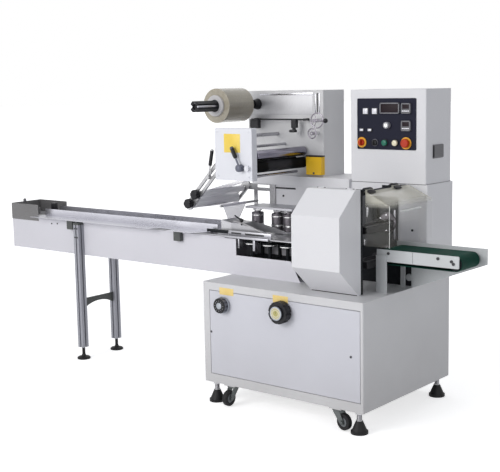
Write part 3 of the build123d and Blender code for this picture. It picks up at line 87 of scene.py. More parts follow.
def lamp(name, place, aim, size, watts, tint):
    """A square soft box that looks at a place on the machine."""
    light = bpy.data.lights.new(name, "AREA")
    light.size = size
    light.energy = watts
    light.color = tint
    facing = (aim - place).to_track_quat("-Z", "Y")
    put_in(name, light).matrix_world = Matrix.Translation(place) @ facing.to_matrix().to_4x4()


lamp("key_front", at(-1900, -4600, 2500), at(-700, 300, 700), 2.6, 141, (1.0, 0.99, 0.98))
lamp("fill_right", at(3400, -2300, 1700), at(-300, 300, 600), 2.0, 26, (0.97, 0.98, 1.0))
lamp("top", at(-900, 900, 4600), at(-900, 300, 700), 2.4, 31, (1.0, 1.0, 1.0))


def add_node(tree, kind, inputs=(), **settings):
    """Adds a node whose inputs take plain values or other nodes' outputs."""
    node = tree.nodes.new(kind)
    for name, value in settings.items():
        setattr(node, name, value)
    for socket, value in dict(inputs).items():
        if isinstance(value, bpy.types.NodeSocket):
            tree.links.new(value, node.inputs[socket])
        else:
            node.inputs[socket].default_value = value
    return node


def combine(tree, operation, *values):
    """The result of one sum on numbers."""
    return add_node(tree, "ShaderNodeMath", enumerate(values), operation=operation).outputs[0]


def carry_over(tree, value, low, high, start=0.0, end=1.0):
    """Carries a number over from one range to another."""
    ends = {"Value": value, "From Min": low, "From Max": high, "To Min": start, "To Max": end}
    return add_node(tree, "ShaderNodeMapRange", ends).outputs["Result"]


def background_ray(tree):
    """One for rays from the viewer, a mirror or glass, and nothing for the rest."""
    path = add_node(tree, "ShaderNodeLightPath").outputs
    mirrored = combine(tree, "MAXIMUM", path["Is Camera Ray"], path["Is Glossy Ray"])
    return combine(tree, "MAXIMUM", mirrored, path["Is Transmission Ray"])


sky = bpy.data.worlds.new("studio")
bpy.context.scene.world = sky
sky.use_nodes = True
sky_tree = sky.node_tree
dim = sky_tree.nodes["Background"]
dim.inputs["Color"].default_value = (0.93, 0.95, 1.0, 1)
dim.inputs["Strength"].default_value = 0.36
white = add_node(sky_tree, "ShaderNodeBackground", {"Color": (1, 1, 1, 1), "Strength": 1.0})
either = add_node(sky_tree, "ShaderNodeMixShader", {0: background_ray(sky_tree), 1: dim.outputs[0],
                                                    2: white.outputs[0]})
sky_tree.links.new(either.outputs[0], sky_tree.nodes["World Output"].inputs["Surface"])

reach = 60
floor_mesh = bpy.data.meshes.new("floor")
floor_mesh.from_pydata([(-reach, -reach, 0), (reach, -reach, 0), (reach, reach, 0), (-reach, reach, 0)], [],
                       [(0, 1, 2, 3)])
floor = put_in("floor", floor_mesh)
floor_paint = bpy.data.materials.new("floor_paint")
floor_paint.use_nodes = True
floor_tree = floor_paint.node_tree
floor_tree.nodes.remove(floor_tree.nodes["Principled BSDF"])
matt = add_node(floor_tree, "ShaderNodeBsdfDiffuse", {"Color": (0.82, 0.82, 0.82, 1)})
spot = add_node(floor_tree, "ShaderNodeTexCoord").outputs["Object"]
away = add_node(floor_tree, "ShaderNodeVectorMath", {0: spot}, operation="LENGTH").outputs["Value"]
lift = combine(floor_tree, "MULTIPLY", background_ray(floor_tree), carry_over(floor_tree, away, 1.6, 3.6, 0.62, 1.0))
glow = add_node(floor_tree, "ShaderNodeEmission", {"Color": (1, 1, 1, 1), "Strength": lift})
both = add_node(floor_tree, "ShaderNodeAddShader", {0: matt.outputs[0], 1: glow.outputs[0]})
floor_tree.links.new(both.outputs[0], floor_tree.nodes["Material Output"].inputs["Surface"])
floor_mesh.materials.append(floor_paint)

# ---- Base cabinet and its door ----
# A welded box of folded sheet steel in white powder coat, with a flush door on the operator's
# side. The coat has a fine orange peel, greys a little towards the floor and is thin on the folds.
# Base and door wear darker copies of the white coat, as painted shade.


def blend(tree, share, first, second, kind="MIX"):
    """Mixes two colours by a share."""
    return add_node(tree, "ShaderNodeMix", {0: share, 6: first, 7: second}, data_type="RGBA",
                    blend_type=kind).outputs[2]


def surface(name, colour, second, rough, metal=0.0, broad=2.5, fine=300, grain=(1, 1, 1), bump=0.01,
            edge=0.0, worn=None, wear=0.5, floor_darkening=0.0, specular=0.5, coat=0.0):
    """A finish on object coordinates: two tones, a grain, its bump and gloss, and optional worn edges."""
    finish = bpy.data.materials.new(name)
    finish.use_nodes = True
    tree = finish.node_tree
    shader = tree.nodes["Principled BSDF"].inputs
    shader["Metallic"].default_value = metal
    shader["Specular IOR Level"].default_value = specular
    shader["Coat Weight"].default_value = coat
    shader["Coat Roughness"].default_value = 0.12
    where = add_node(tree, "ShaderNodeTexCoord").outputs["Object"]
    along = add_node(tree, "ShaderNodeMapping", {"Scale": grain, "Vector": where}).outputs["Vector"]
    cloud = add_node(tree, "ShaderNodeTexNoise", {"Scale": broad, "Detail": 3, "Vector": where}).outputs["Fac"]
    speck = add_node(tree, "ShaderNodeTexNoise", {"Scale": fine, "Detail": 3, "Vector": along}).outputs["Fac"]
    cloud_share, speck_share = 0.55, 0.45
    mottle = combine(tree, "MULTIPLY_ADD", speck, speck_share, combine(tree, "MULTIPLY", cloud, cloud_share))
    spread = carry_over(tree, mottle, 0.35, 0.65)
    shade = blend(tree, spread, (*colour, 1), (*second, 1))
    relief = add_node(tree, "ShaderNodeBump", {"Strength": min(1.0, bump * 10), "Distance": 0.0004, "Height": speck})
    if edge:
        rounded = add_node(tree, "ShaderNodeBevel", {"Radius": edge}, samples=4).outputs["Normal"]
        tree.links.new(rounded, relief.inputs["Normal"])
    if edge and worn:
        flat = add_node(tree, "ShaderNodeNewGeometry").outputs["Normal"]
        turn = add_node(tree, "ShaderNodeVectorMath", {0: rounded, 1: flat}, operation="DOT_PRODUCT").outputs["Value"]
        rim = carry_over(tree, turn, 0.97, 0.75, 0.0, wear)
        shade = blend(tree, combine(tree, "MULTIPLY", rim, spread), shade, (*worn, 1))
    # Darker and browner towards the floor: a brownish grey blended in, in clouds, below about 0.45 m.
    if floor_darkening:
        height = add_node(tree, "ShaderNodeSeparateXYZ", {"Vector": where}).outputs["Z"]
        low = carry_over(tree, height, 0.45, 0.08, 0.0, floor_darkening)
        shade = blend(tree, combine(tree, "MULTIPLY", low, cloud), shade, (0.30, 0.28, 0.26, 1))
    tree.links.new(shade, shader["Base Color"])
    tree.links.new(carry_over(tree, spread, 0.0, 1.0, *rough), shader["Roughness"])
    tree.links.new(relief.outputs["Normal"], shader["Normal"])
    return finish


def powder_coat(name, colour, second, worn, rough=(0.38, 0.5), edge=0.0016, wear=0.45, floor_darkening=0.0):
    """A painted sheet: fine orange peel, thin on the folds."""
    return surface(name, colour, second, rough, fine=420, bump=0.012, edge=edge, worn=worn, wear=wear, floor_darkening=floor_darkening)


def dress(finish, *names):
    """Gives the finish to the solids of these names."""
    for name in names:
        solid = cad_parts[name]
        if not solid.material_slots:
            solid.data.materials.append(finish)
        for place in solid.material_slots:
            place.material = finish


crease = math.radians(35)


def as_mesh(name, shape):
    """Closes a bmesh into a mesh with its faces turned outward."""
    bmesh.ops.recalc_face_normals(shape, faces=shape.faces)
    mesh = bpy.data.meshes.new(name)
    shape.to_mesh(mesh)
    shape.free()
    return mesh


def hang(name, mesh, body, smooth=True):
    """Puts a mesh in the scene as a piece that rides on a body."""
    piece = put_in(name, mesh)
    if smooth:
        mesh.shade_smooth()
        mesh.set_sharp_from_angle(angle=crease)
    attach(piece, body)
    return piece


def build(name, shape, finish, body="machine", smooth=True):
    """Turns a finished bmesh into a piece that rides on a body."""
    mesh = as_mesh(name, shape)
    mesh.materials.append(finish)
    return hang(name, mesh, body, smooth)


def add_block(shape, place, size, edge, segments=2):
    """Adds a block of a size in metres with its edges rounded."""
    made = bmesh.ops.create_cube(shape, size=1, matrix=place @ Matrix.Diagonal((*size, 1)))
    edges = {e for v in made["verts"] for e in v.link_edges}
    if edge:
        bmesh.ops.bevel(shape, geom=list(edges), offset=edge / 1000, segments=segments, affect="EDGES", profile=0.5)


def add_slab(shape, x, y, z, edge):
    """Adds a block between two stations each way."""
    low = at(x[0], y[0], z[0])
    size = at(x[1], y[1], z[1]) - low
    add_block(shape, Matrix.Translation(low + size / 2), size, edge)


def slabs(name, blocks, edge, finish, body="machine"):
    """A piece of one or more rounded blocks."""
    shape = bmesh.new()
    for x, y, z in blocks:
        add_slab(shape, x, y, z, edge)
    return build(name, shape, finish, body)


def add_turned(shape, centre, axis, profile, steps=40):
    """Adds a turned form: radius and travel along the axis, in millimetres."""
    axis = Vector(axis).normalized()
    side = axis.orthogonal().normalized()
    other = axis.cross(side)
    rings = []
    for radius, travel in profile:
        middle = centre + axis * travel / 1000
        if radius == 0:
            rings.append([shape.verts.new(middle)])
            continue
        ring = []
        for step in range(steps):
            angle = 2 * math.pi * step / steps
            ring.append(shape.verts.new(middle + (side * math.cos(angle) + other * math.sin(angle)) * radius / 1000))
        rings.append(ring)
    for first, second in zip(rings, rings[1:]):
        for step in range(steps):
            following = (step + 1) % steps
            if len(first) == 1:
                shape.faces.new((first[0], second[following], second[step]))
            elif len(second) == 1:
                shape.faces.new((first[step], first[following], second[0]))
            else:
                shape.faces.new((first[step], first[following], second[following], second[step]))


def turned(name, centre, axis, profile, finish, body="machine", steps=40):
    """A piece turned about one axis."""
    shape = bmesh.new()
    add_turned(shape, centre, axis, profile, steps)
    build(name, shape, finish, body)


coat_white = powder_coat("white_powder_coat", (0.775, 0.775, 0.80), (0.73, 0.73, 0.76), (0.60, 0.60, 0.62), floor_darkening=0.35)
# Darker copies of the white coat for the base and its door: painted shade. The door's blue tint is its own.
base_white_shaded = powder_coat("base_powder_coat_shaded", (0.665, 0.665, 0.68), (0.625, 0.625, 0.64), (0.56, 0.56, 0.58), floor_darkening=0.4)
door_white_shaded = powder_coat("door_powder_coat_shaded", (0.64, 0.645, 0.70), (0.605, 0.61, 0.665), (0.52, 0.52, 0.56),
                         (0.34, 0.46), edge=0.0012, wear=0.4, floor_darkening=0.3)
dress(base_white_shaded, "base_cabinet")
dress(door_white_shaded, "base_door")

# Two quarter-turn locks at the door's edges, black zinc with a slot for the key.
lock_black = surface("lock_zinc", (0.05, 0.05, 0.055), (0.09, 0.09, 0.10), (0.3, 0.5), metal=0.7, fine=600, bump=0.02)
for side, x, z in (("left", -843, 343), ("right", -62, 339)):
    lock = bmesh.new()
    add_turned(lock, at(x, 0.2, z), front_way, [(0, 0), (5.6, 0), (5.6, 1.6), (4.9, 2.2), (0, 2.2)], 24)
    add_slab(lock, (x - 3.4, x + 3.4), (-2.6, -1.8), (z - 0.7, z + 0.7), 0.15)
    build("door_lock_" + side, lock, lock_black)

# Two plain yellow plates above the knobs, left without any text.
plate_yellow = surface("yellow_foil", (0.84, 0.62, 0.20), (0.88, 0.69, 0.30), (0.35, 0.48), bump=0.006, broad=18)
plate_thick = 0.6
for side, x in (("left", -745), ("right", -433)):
    slabs("base_plate_" + side, [((x - 42, x + 42), (-plate_thick, 0.1), (527, 560))], 0.25, plate_yellow)

# ---- Screw feet ----
# Black moulded cones with a ball joint for a threaded steel stem and its lock nut, screwed up
# into the cabinet floor.
pad_black = surface("pad_rubber", (0.006, 0.006, 0.007), (0.014, 0.014, 0.015), (0.42, 0.62), fine=500, bump=0.03,
                    specular=0.25)
steel_zinc = surface("zinc_plate", (0.42, 0.42, 0.43), (0.55, 0.55, 0.57), (0.22, 0.42), metal=1.0, fine=380)
dress(pad_black, "levelling_feet")


def set_out_tree():
    """A tree that sets one piece out on places: each has a facing and a turn, and a seed varies the turn."""
    tree = bpy.data.node_groups.new("set_out", "GeometryNodeTree")
    for label, kind in (("Places", "Geometry"), ("Piece", "Object"), ("Size", "Float"), ("Loose Turn", "Float"),
                        ("Seed", "Int"), ("Finish", "Material")):
        tree.interface.new_socket(label, in_out="INPUT", socket_type="NodeSocket" + kind)
    tree.interface.new_socket("Geometry", in_out="OUTPUT", socket_type="NodeSocketGeometry")
    given = add_node(tree, "NodeGroupInput").outputs
    piece = add_node(tree, "GeometryNodeObjectInfo", {"Object": given["Piece"]})
    facing = add_node(tree, "GeometryNodeInputNamedAttribute", {"Name": "facing"}, data_type="FLOAT_VECTOR")
    fixed = add_node(tree, "GeometryNodeInputNamedAttribute", {"Name": "turn"}, data_type="FLOAT")
    loose = add_node(tree, "FunctionNodeRandomValue", {3: given["Loose Turn"], 8: given["Seed"]}, data_type="FLOAT")
    turn = combine(tree, "ADD", fixed.outputs["Attribute"], loose.outputs[1])
    about = add_node(tree, "ShaderNodeCombineXYZ", {"Z": turn})
    start = add_node(tree, "FunctionNodeEulerToRotation", {0: about.outputs[0]})
    aim = add_node(tree, "FunctionNodeAlignRotationToVector",
                   {"Rotation": start.outputs[0], "Vector": facing.outputs["Attribute"]}, axis="Z")
    spread = add_node(tree, "GeometryNodeInstanceOnPoints",
                      {"Points": given["Places"], "Instance": piece.outputs["Geometry"],
                       "Rotation": aim.outputs[0], "Scale": given["Size"]})
    real = add_node(tree, "GeometryNodeRealizeInstances", {"Geometry": spread.outputs["Instances"]})
    paint = add_node(tree, "GeometryNodeSetMaterial",
                     {"Geometry": real.outputs["Geometry"], "Material": given["Finish"]})
    add_node(tree, "NodeGroupOutput", {"Geometry": paint.outputs["Geometry"]})
    return tree


set_out = set_out_tree()


def spread_out(name, pattern, places, size, finish, body="machine", loose=0.0, seed=1):
    """Sets a pattern piece out on places given as (point, facing, turn), as one plain mesh."""
    mesh = bpy.data.meshes.new(name + "_places")
    mesh.from_pydata([place[0] for place in places], [], [])
    mesh.attributes.new("facing", "FLOAT_VECTOR", "POINT")
    mesh.attributes.new("turn", "FLOAT", "POINT")
    for number, place in enumerate(places):
        mesh.attributes["facing"].data[number].vector = place[1]
        mesh.attributes["turn"].data[number].value = place[2]
    carrier = put_in(name + "_places", mesh)
    nodes = carrier.modifiers.new("set_out", "NODES")
    nodes.node_group = set_out
    names = {s.name: s.identifier for s in set_out.interface.items_tree if s.in_out == "INPUT"}
    for label, value in (("Piece", pattern), ("Size", size), ("Loose Turn", loose), ("Seed", seed), ("Finish", finish)):
        nodes[names[label]] = value
    graph = bpy.context.evaluated_depsgraph_get()
    graph.update()
    laid = bpy.data.meshes.new_from_object(carrier.evaluated_get(graph))
    laid.name = name
    bpy.data.objects.remove(carrier)
    hang(name, laid, body)


def pattern_piece(name, shape):
    """A pattern at the origin, a unit across, that is only ever set out."""
    patterns.append(put_in(name, as_mesh(name, shape)))
    return patterns[-1]


patterns = []
thread = bmesh.new()
add_turned(thread, Vector(), up_way, [(1000, -120), (1130, 0), (1000, 120)], 20)
thread_turn = pattern_piece("thread_turn", thread)
stem_radius = 10.2
thread_pitch = 2.5
thread_turns = 16
foot_places = [(-846, 36), (-846, 704), (-44, 36), (-44, 704)]
turns = []
for x, y in foot_places:
    for step in range(thread_turns):
        turns.append((at(x, y, 58 + step * thread_pitch), up_way, 0))
spread_out("foot_threads", thread_turn, turns, stem_radius / 1000, steel_zinc)
nuts = bmesh.new()
for x, y in foot_places:
    add_turned(nuts, at(x, y, 84), up_way, [(10, 0), (16.5, 0), (17.5, 1.5), (17.5, 9), (16.5, 10.5), (10, 10.5)], 6)
    add_turned(nuts, at(x, y, 55.6), up_way, [(10, 0), (14, 0), (14, 3), (12, 5), (10, 5)], 24)
build("foot_nuts", nuts, steel_zinc, smooth=False)

# ---- Casters ----
# Pressed and zinc-plated forks on a kingpin, with black tyres on grey hubs. They hang just clear
# of the floor once the feet are screwed down.
fork_zinc = surface("fork_zinc", (0.07, 0.08, 0.08), (0.15, 0.16, 0.16), (0.3, 0.5), metal=0.9, fine=260, bump=0.015,
                    broad=14, edge=0.0008, worn=(0.5, 0.5, 0.5), wear=0.5)
tyre_black = surface("tyre_rubber", (0.007, 0.007, 0.008), (0.018, 0.018, 0.019), (0.5, 0.75), fine=420, bump=0.04,
                     specular=0.25)
hub_grey = surface("hub_nylon", (0.10, 0.11, 0.12), (0.17, 0.18, 0.19), (0.4, 0.55), bump=0.02)
axle_height = 40
trail = 0.034
for corner, x, y, turn in (("front_left", -742, 32, 0), ("front_right", -148, 32, 80),
                           ("rear_left", -742, 708, 0), ("rear_right", -148, 708, 260)):
    dress(fork_zinc, "caster_fork_" + corner)
    dress(tyre_black, "caster_wheel_" + corner)
    lean = math.radians(turn)
    axle = at(x, y, axle_height) + Vector((math.sin(lean), -math.cos(lean), 0)) * trail
    across = Vector((math.cos(lean), math.sin(lean), 0))
    hub = bmesh.new()
    for side in (-1, 1):
        rim = [(10.2, 8.2), (21.6, 8.2), (21.2, 9.6), (17.5, 9.0), (13.5, 10.6), (10.2, 11.4), (10.2, 8.2)]
        add_turned(hub, axle, across * side, rim, 32)
    build("caster_hub_" + corner, hub, hub_grey, "roller_" + corner)
    caps = bmesh.new()
    for side in (-1, 1):
        add_turned(caps, axle, across * side, [(5.1, 17.6), (8.6, 17.6), (8.6, 21), (7.4, 22.6), (0, 22.6)], 6)
    add_turned(caps, at(x, y, 86.2), up_way, [(27.1, 0), (28.6, 1), (28.6, 5), (27.1, 6.4)], 40)
    build("caster_nuts_" + corner, caps, fork_zinc, "swivel_" + corner)

# ---- Knobs on the door ----
# Moulded black grips on steel shafts. The small one has a grey face with an index ring, the large
# one a cream position dial behind a grey bezel, with generic marks and no figures.
knob_black = surface("knob_moulding", (0.006, 0.006, 0.008), (0.014, 0.014, 0.017), (0.3, 0.45), fine=420, bump=0.015,
                     edge=0.001, worn=(0.05, 0.05, 0.06), wear=0.5, specular=0.25)
dial_grey = surface("dial_anodised", (0.30, 0.32, 0.36), (0.40, 0.42, 0.46), (0.25, 0.4), metal=0.85)
cream_dial = surface("cream_dial", (0.62, 0.57, 0.36), (0.68, 0.63, 0.43), (0.3, 0.4), fine=200, bump=0.004, broad=20)
bezel_steel = surface("bezel_steel", (0.62, 0.62, 0.62), (0.72, 0.72, 0.72), (0.12, 0.22), metal=1.0, bump=0.005)
mark_black = surface("mark_ink", (0.02, 0.02, 0.02), (0.035, 0.035, 0.035), (0.4, 0.5), bump=0.004)
sleeve_grey = surface("sleeve_grey", (0.10, 0.105, 0.13), (0.15, 0.155, 0.18), (0.3, 0.45), metal=0.3)
dress(sleeve_grey, "dial_knob")
dress(knob_black, "handwheel")
dial_front = at(-763, -32, 480)
turned("dial_cap", dial_front, front_way, [(0, -0.2), (34.5, -0.2), (34.5, 0.8), (32, 3), (0, 3)],
       knob_black, "dial", 48)
turned("dial_face", dial_front, front_way, [(0, 2.8), (15, 2.8), (15, 3.8), (13.5, 4.6), (0, 4.6)], dial_grey, "dial")
turned("dial_skirt", at(-763, -6, 480), front_way, [(30, -0.3), (39.5, -0.3), (39.5, 4.6), (38, 6), (36.3, 6)],
       dial_grey, "dial", 48)
wheel_front = at(-419, -54, 491)
turned("wheel_bezel", wheel_front, front_way, [(24.5, -6), (31, -6), (31, 0.6), (29.6, 1.8), (26.2, 1.8), (25.2, 0.4)],
       dial_grey, "handwheel_body", 48)
turned("wheel_dial", wheel_front, front_way, [(0, -0.2), (25.6, -0.2), (25.6, 0.7), (0, 0.7)], cream_dial,
       "handwheel_body", 48)
olive_dial = surface("olive_dial", (0.42, 0.38, 0.12), (0.50, 0.46, 0.18), (0.3, 0.4), fine=200, bump=0.004, broad=20)
turned("wheel_centre", wheel_front, front_way, [(0, 0.5), (12.5, 0.5), (12.5, 1.2), (0, 1.2)], olive_dial,
       "handwheel_body")
stroke = bmesh.new()
bmesh.ops.create_cube(stroke, size=1, matrix=Matrix.Diagonal((0.9, 0.16, 0.12, 1)))
dial_stroke = pattern_piece("dial_stroke", stroke)
lamp_white = surface("lamp_white", (0.80, 0.80, 0.86), (0.86, 0.86, 0.92), (0.18, 0.3), fine=160, bump=0.006, coat=0.4)


def mark_round(name, centre, count, radius, out, size, finish, body):
    """Strokes set round a dial, with radius, height and size in metres."""
    marks = []
    for step in range(count):
        angle = 2 * math.pi * step / count
        place = centre + Vector((math.cos(angle) * radius, -out, math.sin(angle) * radius))
        marks.append((place, front_way, angle))
    spread_out(name, dial_stroke, marks, size, finish, body)


mark_round("wheel_marks", wheel_front, 20, 0.0196, 0.0008, 0.0046, mark_black, "handwheel_body")
slabs("wheel_pointer", [((-419.8, -418.2), (-55.8, -55.1), (489, 502))], 0.2, mark_black, "handwheel_body")
mark_round("dial_marks", dial_front, 12, 0.0235, 0.0031, 0.0052, lamp_white, "dial")

# ---- Rear enclosure, film table, column and control box ----
# Folded and welded sheet steel in the same white coat. The control box stands on the enclosure
# with a shadow gap. The side has a small punched vent, the enclosure a slot for the arm.
# The column takes a darker copy of the white coat: painted shade.
column_white_shaded = powder_coat("column_powder_coat_shaded", (0.68, 0.68, 0.69), (0.64, 0.64, 0.65), (0.58, 0.58, 0.60))
dress(coat_white, "rear_enclosure", "unit_table", "control_box")
dress(column_white_shaded, "film_column")
dark_gap = surface("shadow_black", (0.02, 0.02, 0.022), (0.035, 0.035, 0.037), (0.6, 0.8), fine=200, bump=0.02)
vent_grey = surface("vent_grey", (0.10, 0.10, 0.11), (0.14, 0.14, 0.15), (0.45, 0.6), fine=260, bump=0.03, edge=0.0005,
                    worn=(0.3, 0.3, 0.3), wear=0.4)
slabs("enclosure_slot", [((-848, -724), (512.2, 513.2), (969, 977))], 0.3, dark_gap)
slabs("tower_vent", [((-0.2, 1.6), (572, 662), (1139, 1199))], 0.5, vent_grey)
louvre = bmesh.new()
add_turned(louvre, Vector(), (1, 0, 0), [(0, -480), (80, -480), (80, 480), (0, 480)], 8)
louvre_bar = pattern_piece("louvre_bar", louvre)
bars = [(at(1.7, 617, 1146 + 6 * step), up_way, math.radians(90)) for step in range(9)]
spread_out("vent_louvres", louvre_bar, bars, 0.086, vent_grey)
slabs("tower_seam", [((-396, 0.4), (512.6, 741.4), (1024, 1026.4))], 0, dark_gap)


def ring_of(shape, count, radius, height):
    """A ring of points about the upright axis."""
    angles = [2 * math.pi * step / count for step in range(count)]
    return [shape.verts.new((radius * math.cos(angle), radius * math.sin(angle), height)) for angle in angles]


head = bmesh.new()
rim_steps = 18
hex_steps = 6
rows = [ring_of(head, rim_steps, radius, height) for radius, height in ((1.0, 0.0), (1.0, 0.5), (0.9, 0.62))]
for first, second in zip(rows, rows[1:]):
    for s in range(rim_steps):
        head.faces.new((first[s], first[(s + 1) % rim_steps], second[(s + 1) % rim_steps], second[s]))
hexes = [ring_of(head, hex_steps, 0.5, height) for height in (0.62, 0.25)]
for s in range(rim_steps):
    here = hexes[0][s * hex_steps // rim_steps]
    following = hexes[0][((s + 1) % rim_steps) * hex_steps // rim_steps]
    corners = [rows[-1][s], rows[-1][(s + 1) % rim_steps], following]
    if here != following:
        corners.append(here)
    head.faces.new(corners)
for s in range(hex_steps):
    head.faces.new((hexes[0][s], hexes[0][(s + 1) % hex_steps], hexes[1][(s + 1) % hex_steps], hexes[1][s]))
head.faces.new(hexes[1])
socket_screw = pattern_piece("socket_screw", head)
screw_black = surface("screw_black", (0.03, 0.03, 0.033), (0.07, 0.07, 0.075), (0.25, 0.45), metal=0.8, fine=500,
                      bump=0.02)


def screws(name, places, radius, finish, seed, facing=front_way):
    """Socket screws with heads of one radius in metres, each left at its own turn."""
    spread_out(name, socket_screw, [(at(*place), facing, 0) for place in places], radius, finish,
               loose=2 * math.pi, seed=seed)


front_screws = [(-799, 513, 935), (-560, 513, 935), (-380, 513, 935), (-68, 513, 816)]
screws("enclosure_screws", front_screws, 0.0055, screw_black, 3)
screws("vent_screws", [(0.8, y, z) for y in (578, 656) for z in (1143, 1195)], 0.002, screw_black, 4, (1, 0, 0))

# ---- Control panel ----
# A dark blue-black plate let into the control box, with a counter display, two temperature
# controllers, two lamps, two rockers, a red and yellow main switch, a selector, two push buttons,
# and a mushroom stop on its yellow ring. Nothing on it is lettered.
panel_navy = surface("panel_navy", (0.011, 0.012, 0.025), (0.017, 0.018, 0.035), (0.5, 0.62), fine=340, edge=0.0008,
                     worn=(0.10, 0.10, 0.12), wear=0.4, specular=0.12)
frame_grey = surface("frame_grey", (0.20, 0.20, 0.22), (0.26, 0.26, 0.28), (0.4, 0.55), fine=340, specular=0.25)
knob_pale = surface("knob_pale", (0.30, 0.30, 0.33), (0.38, 0.38, 0.41), (0.3, 0.45), fine=340)
glass_black = surface("glass_black", (0.016, 0.010, 0.014), (0.026, 0.016, 0.020), (0.4, 0.5), fine=200, bump=0.002,
                      specular=0.12)
red_gloss = surface("red_moulding", (0.46, 0.028, 0.006), (0.56, 0.045, 0.010), (0.3, 0.42), fine=240, bump=0.006,
                    specular=0.25)
ring_yellow = surface("ring_yellow", (0.80, 0.36, 0.02), (0.86, 0.46, 0.05), (0.35, 0.48), fine=260, bump=0.008,
                      specular=0.25)
green_gloss = surface("green_moulding", (0.008, 0.13, 0.085), (0.015, 0.19, 0.12), (0.2, 0.34), fine=240, bump=0.006,
                      specular=0.3)
cream_gloss = surface("cream_moulding", (0.80, 0.74, 0.52), (0.86, 0.80, 0.60), (0.2, 0.32), fine=240, bump=0.006,
                      coat=0.3)
dress(panel_navy, "control_panel")
dress(red_gloss, "emergency_stop")
dress(knob_pale, "speed_knob")
face_y = 509
sunk = face_y + 0.2


def framed(name, x, z, depth, rim, finish, inner_finish):
    """A bezel with a sunk window, standing on the panel."""
    front = face_y - depth
    bars = [(x, (front, sunk), (z[1] - rim, z[1])), (x, (front, sunk), (z[0], z[0] + rim)),
            ((x[0], x[0] + rim), (front, sunk), z), ((x[1] - rim, x[1]), (front, sunk), z)]
    bezel = slabs(name + "_bezel", bars, 0.8, finish)
    lap = 0.5
    pane = ((x[0] + rim - lap, x[1] - rim + lap), (front + 2.4, sunk), (z[0] + rim - lap, z[1] - rim + lap))
    window = slabs(name + "_window", [pane], 0.3, inner_finish)
    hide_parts("panel_controls")
    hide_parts("panel_controls")


framed("counter", (-234, -132), (1341, 1390), 9, 5, frame_grey, glass_black)
key = bmesh.new()
bmesh.ops.create_cube(key, size=1, matrix=Matrix.Translation((0, 0, 0.15)) @ Matrix.Diagonal((1.0, 0.62, 0.3, 1)))
bmesh.ops.bevel(key, geom=list(key.edges), offset=0.08, segments=2, affect="EDGES", profile=0.5)
key_cap = pattern_piece("key_cap", key)
key_places = []
for number, z in enumerate((1365, 1287)):
    framed("controller_%d" % (number + 1), (-120, -74), (z - 23, z + 23), 12, 4, frame_grey, vent_grey)
    slabs("controller_%d_display" % (number + 1), [((-114, -80), (498.9, 500.4), (z - 2, z + 17))], 0.4, glass_black)
    for step in range(4):
        key_places.append((at(-111 + 9.4 * step, 499.4, z - 12), front_way, 0))
spread_out("controller_keys", key_cap, key_places, 0.0086, lamp_white)
for name, places, half, front, z, edge, finish in (
        ("panel_lamps", (-313, -264), 12.5, 502, (1339.5, 1364.5), 1.6, lamp_white),
        ("panel_lamp_rims", (-313, -264), 14.5, 506.6, (1337.5, 1366.5), 0.8, vent_grey),
        ("panel_rockers", (-334, -290), 9, 501.5, (1261, 1271.5), 1.2, lamp_white),
        ("panel_rocker_rims", (-334, -290), 11.5, 505, (1258, 1274.5), 0.8, knob_black)):
    slabs(name, [((x - half, x + half), (front, sunk), z) for x in places], edge, finish)
row = 1209
dial_dark = surface("dial_dark", (0.10, 0.10, 0.12), (0.15, 0.15, 0.17), (0.4, 0.55), metal=0.5, specular=0.2)
turned("main_switch_plate", at(-334, face_y, row), front_way,
       [(0, -0.2), (24, -0.2), (24, 3.4), (22.6, 4.6), (0, 4.6)], ring_yellow, steps=48)
grip = bmesh.new()
add_turned(grip, at(-334, face_y - 4.6, row), front_way, [(0, -0.2), (15.5, -0.2), (15.5, 6.5), (14, 8), (0, 8)], 40)
add_slab(grip, (-338.5, -329.5), (face_y - 24, face_y - 10), (row - 14, row + 14), 1.8)
build("main_switch_grip", grip, red_gloss)
for label, x, rim_finish, cap_finish in (("selector", -263, dial_dark, knob_black),
                                         ("start", -210, knob_black, green_gloss),
                                         ("jog", -155, knob_black, cream_gloss)):
    turned(label + "_rim", at(x, face_y, row), front_way,
           [(13.4, -0.2), (17, -0.2), (17, 3.6), (15.8, 5), (13.4, 5)], rim_finish)
    turned(label + "_cap", at(x, face_y, row), front_way,
           [(0, -0.2), (13.6, -0.2), (13.6, 10.5), (12, 13), (6, 13.8), (0, 14)], cap_finish)
slabs("selector_bar", [((-266, -260), (face_y - 21, face_y - 12), (row - 12, row + 12))], 1.4, knob_black)
turned("stop_ring", at(-98, 505, row), front_way, [(10.4, -0.2), (27.4, -0.2), (27.4, 0.4), (10.4, 0.4)], ring_yellow,
       steps=48)
turned("speed_cap", at(-195, 490, 1289), front_way, [(0, -0.4), (9, -0.4), (9, 0.9), (0, 0.9)], bezel_steel,
       "speed_dial", 32)
slabs("speed_pointer", [((-195.8, -194.2), (488.6, 489.3), (1290, 1300))], 0.15, mark_black, "speed_dial")

# ---- Film reel ----
# Clear film wound on a core, held by an expanding mandrel of black strips between two chucks.
# The winding shows as rings on the ends and a soft sheen on the roll.
reel_x, reel_z = -976, 1385


def wound_film():
    """Beige, waxy film in many layers: rings on the end faces, faint bands along the roll."""
    finish = surface("wound_film", (0.40, 0.36, 0.28), (0.50, 0.46, 0.37), (0.16, 0.28), fine=60, grain=(1, 0.05, 1),
                     bump=0.006, coat=0.5, broad=9)
    tree = finish.node_tree
    shader = tree.nodes["Principled BSDF"].inputs
    middle = at(reel_x, 0, reel_z)
    where = add_node(tree, "ShaderNodeTexCoord").outputs["Object"]
    centred = add_node(tree, "ShaderNodeMapping", {"Location": (-middle.x, 0, -middle.z), "Vector": where})
    rings = add_node(tree, "ShaderNodeTexWave",
                     {"Scale": 130, "Distortion": 1.2, "Detail": 3, "Vector": centred.outputs["Vector"]},
                     wave_type="RINGS", rings_direction="Y")
    plain = shader["Base Color"].links[0].from_socket
    tree.links.new(blend(tree, 0.35, plain, rings.outputs["Color"], "MULTIPLY"), shader["Base Color"])
    shader["Subsurface Weight"].default_value = 0.25
    shader["Subsurface Radius"].default_value = (0.02, 0.018, 0.014)
    return finish


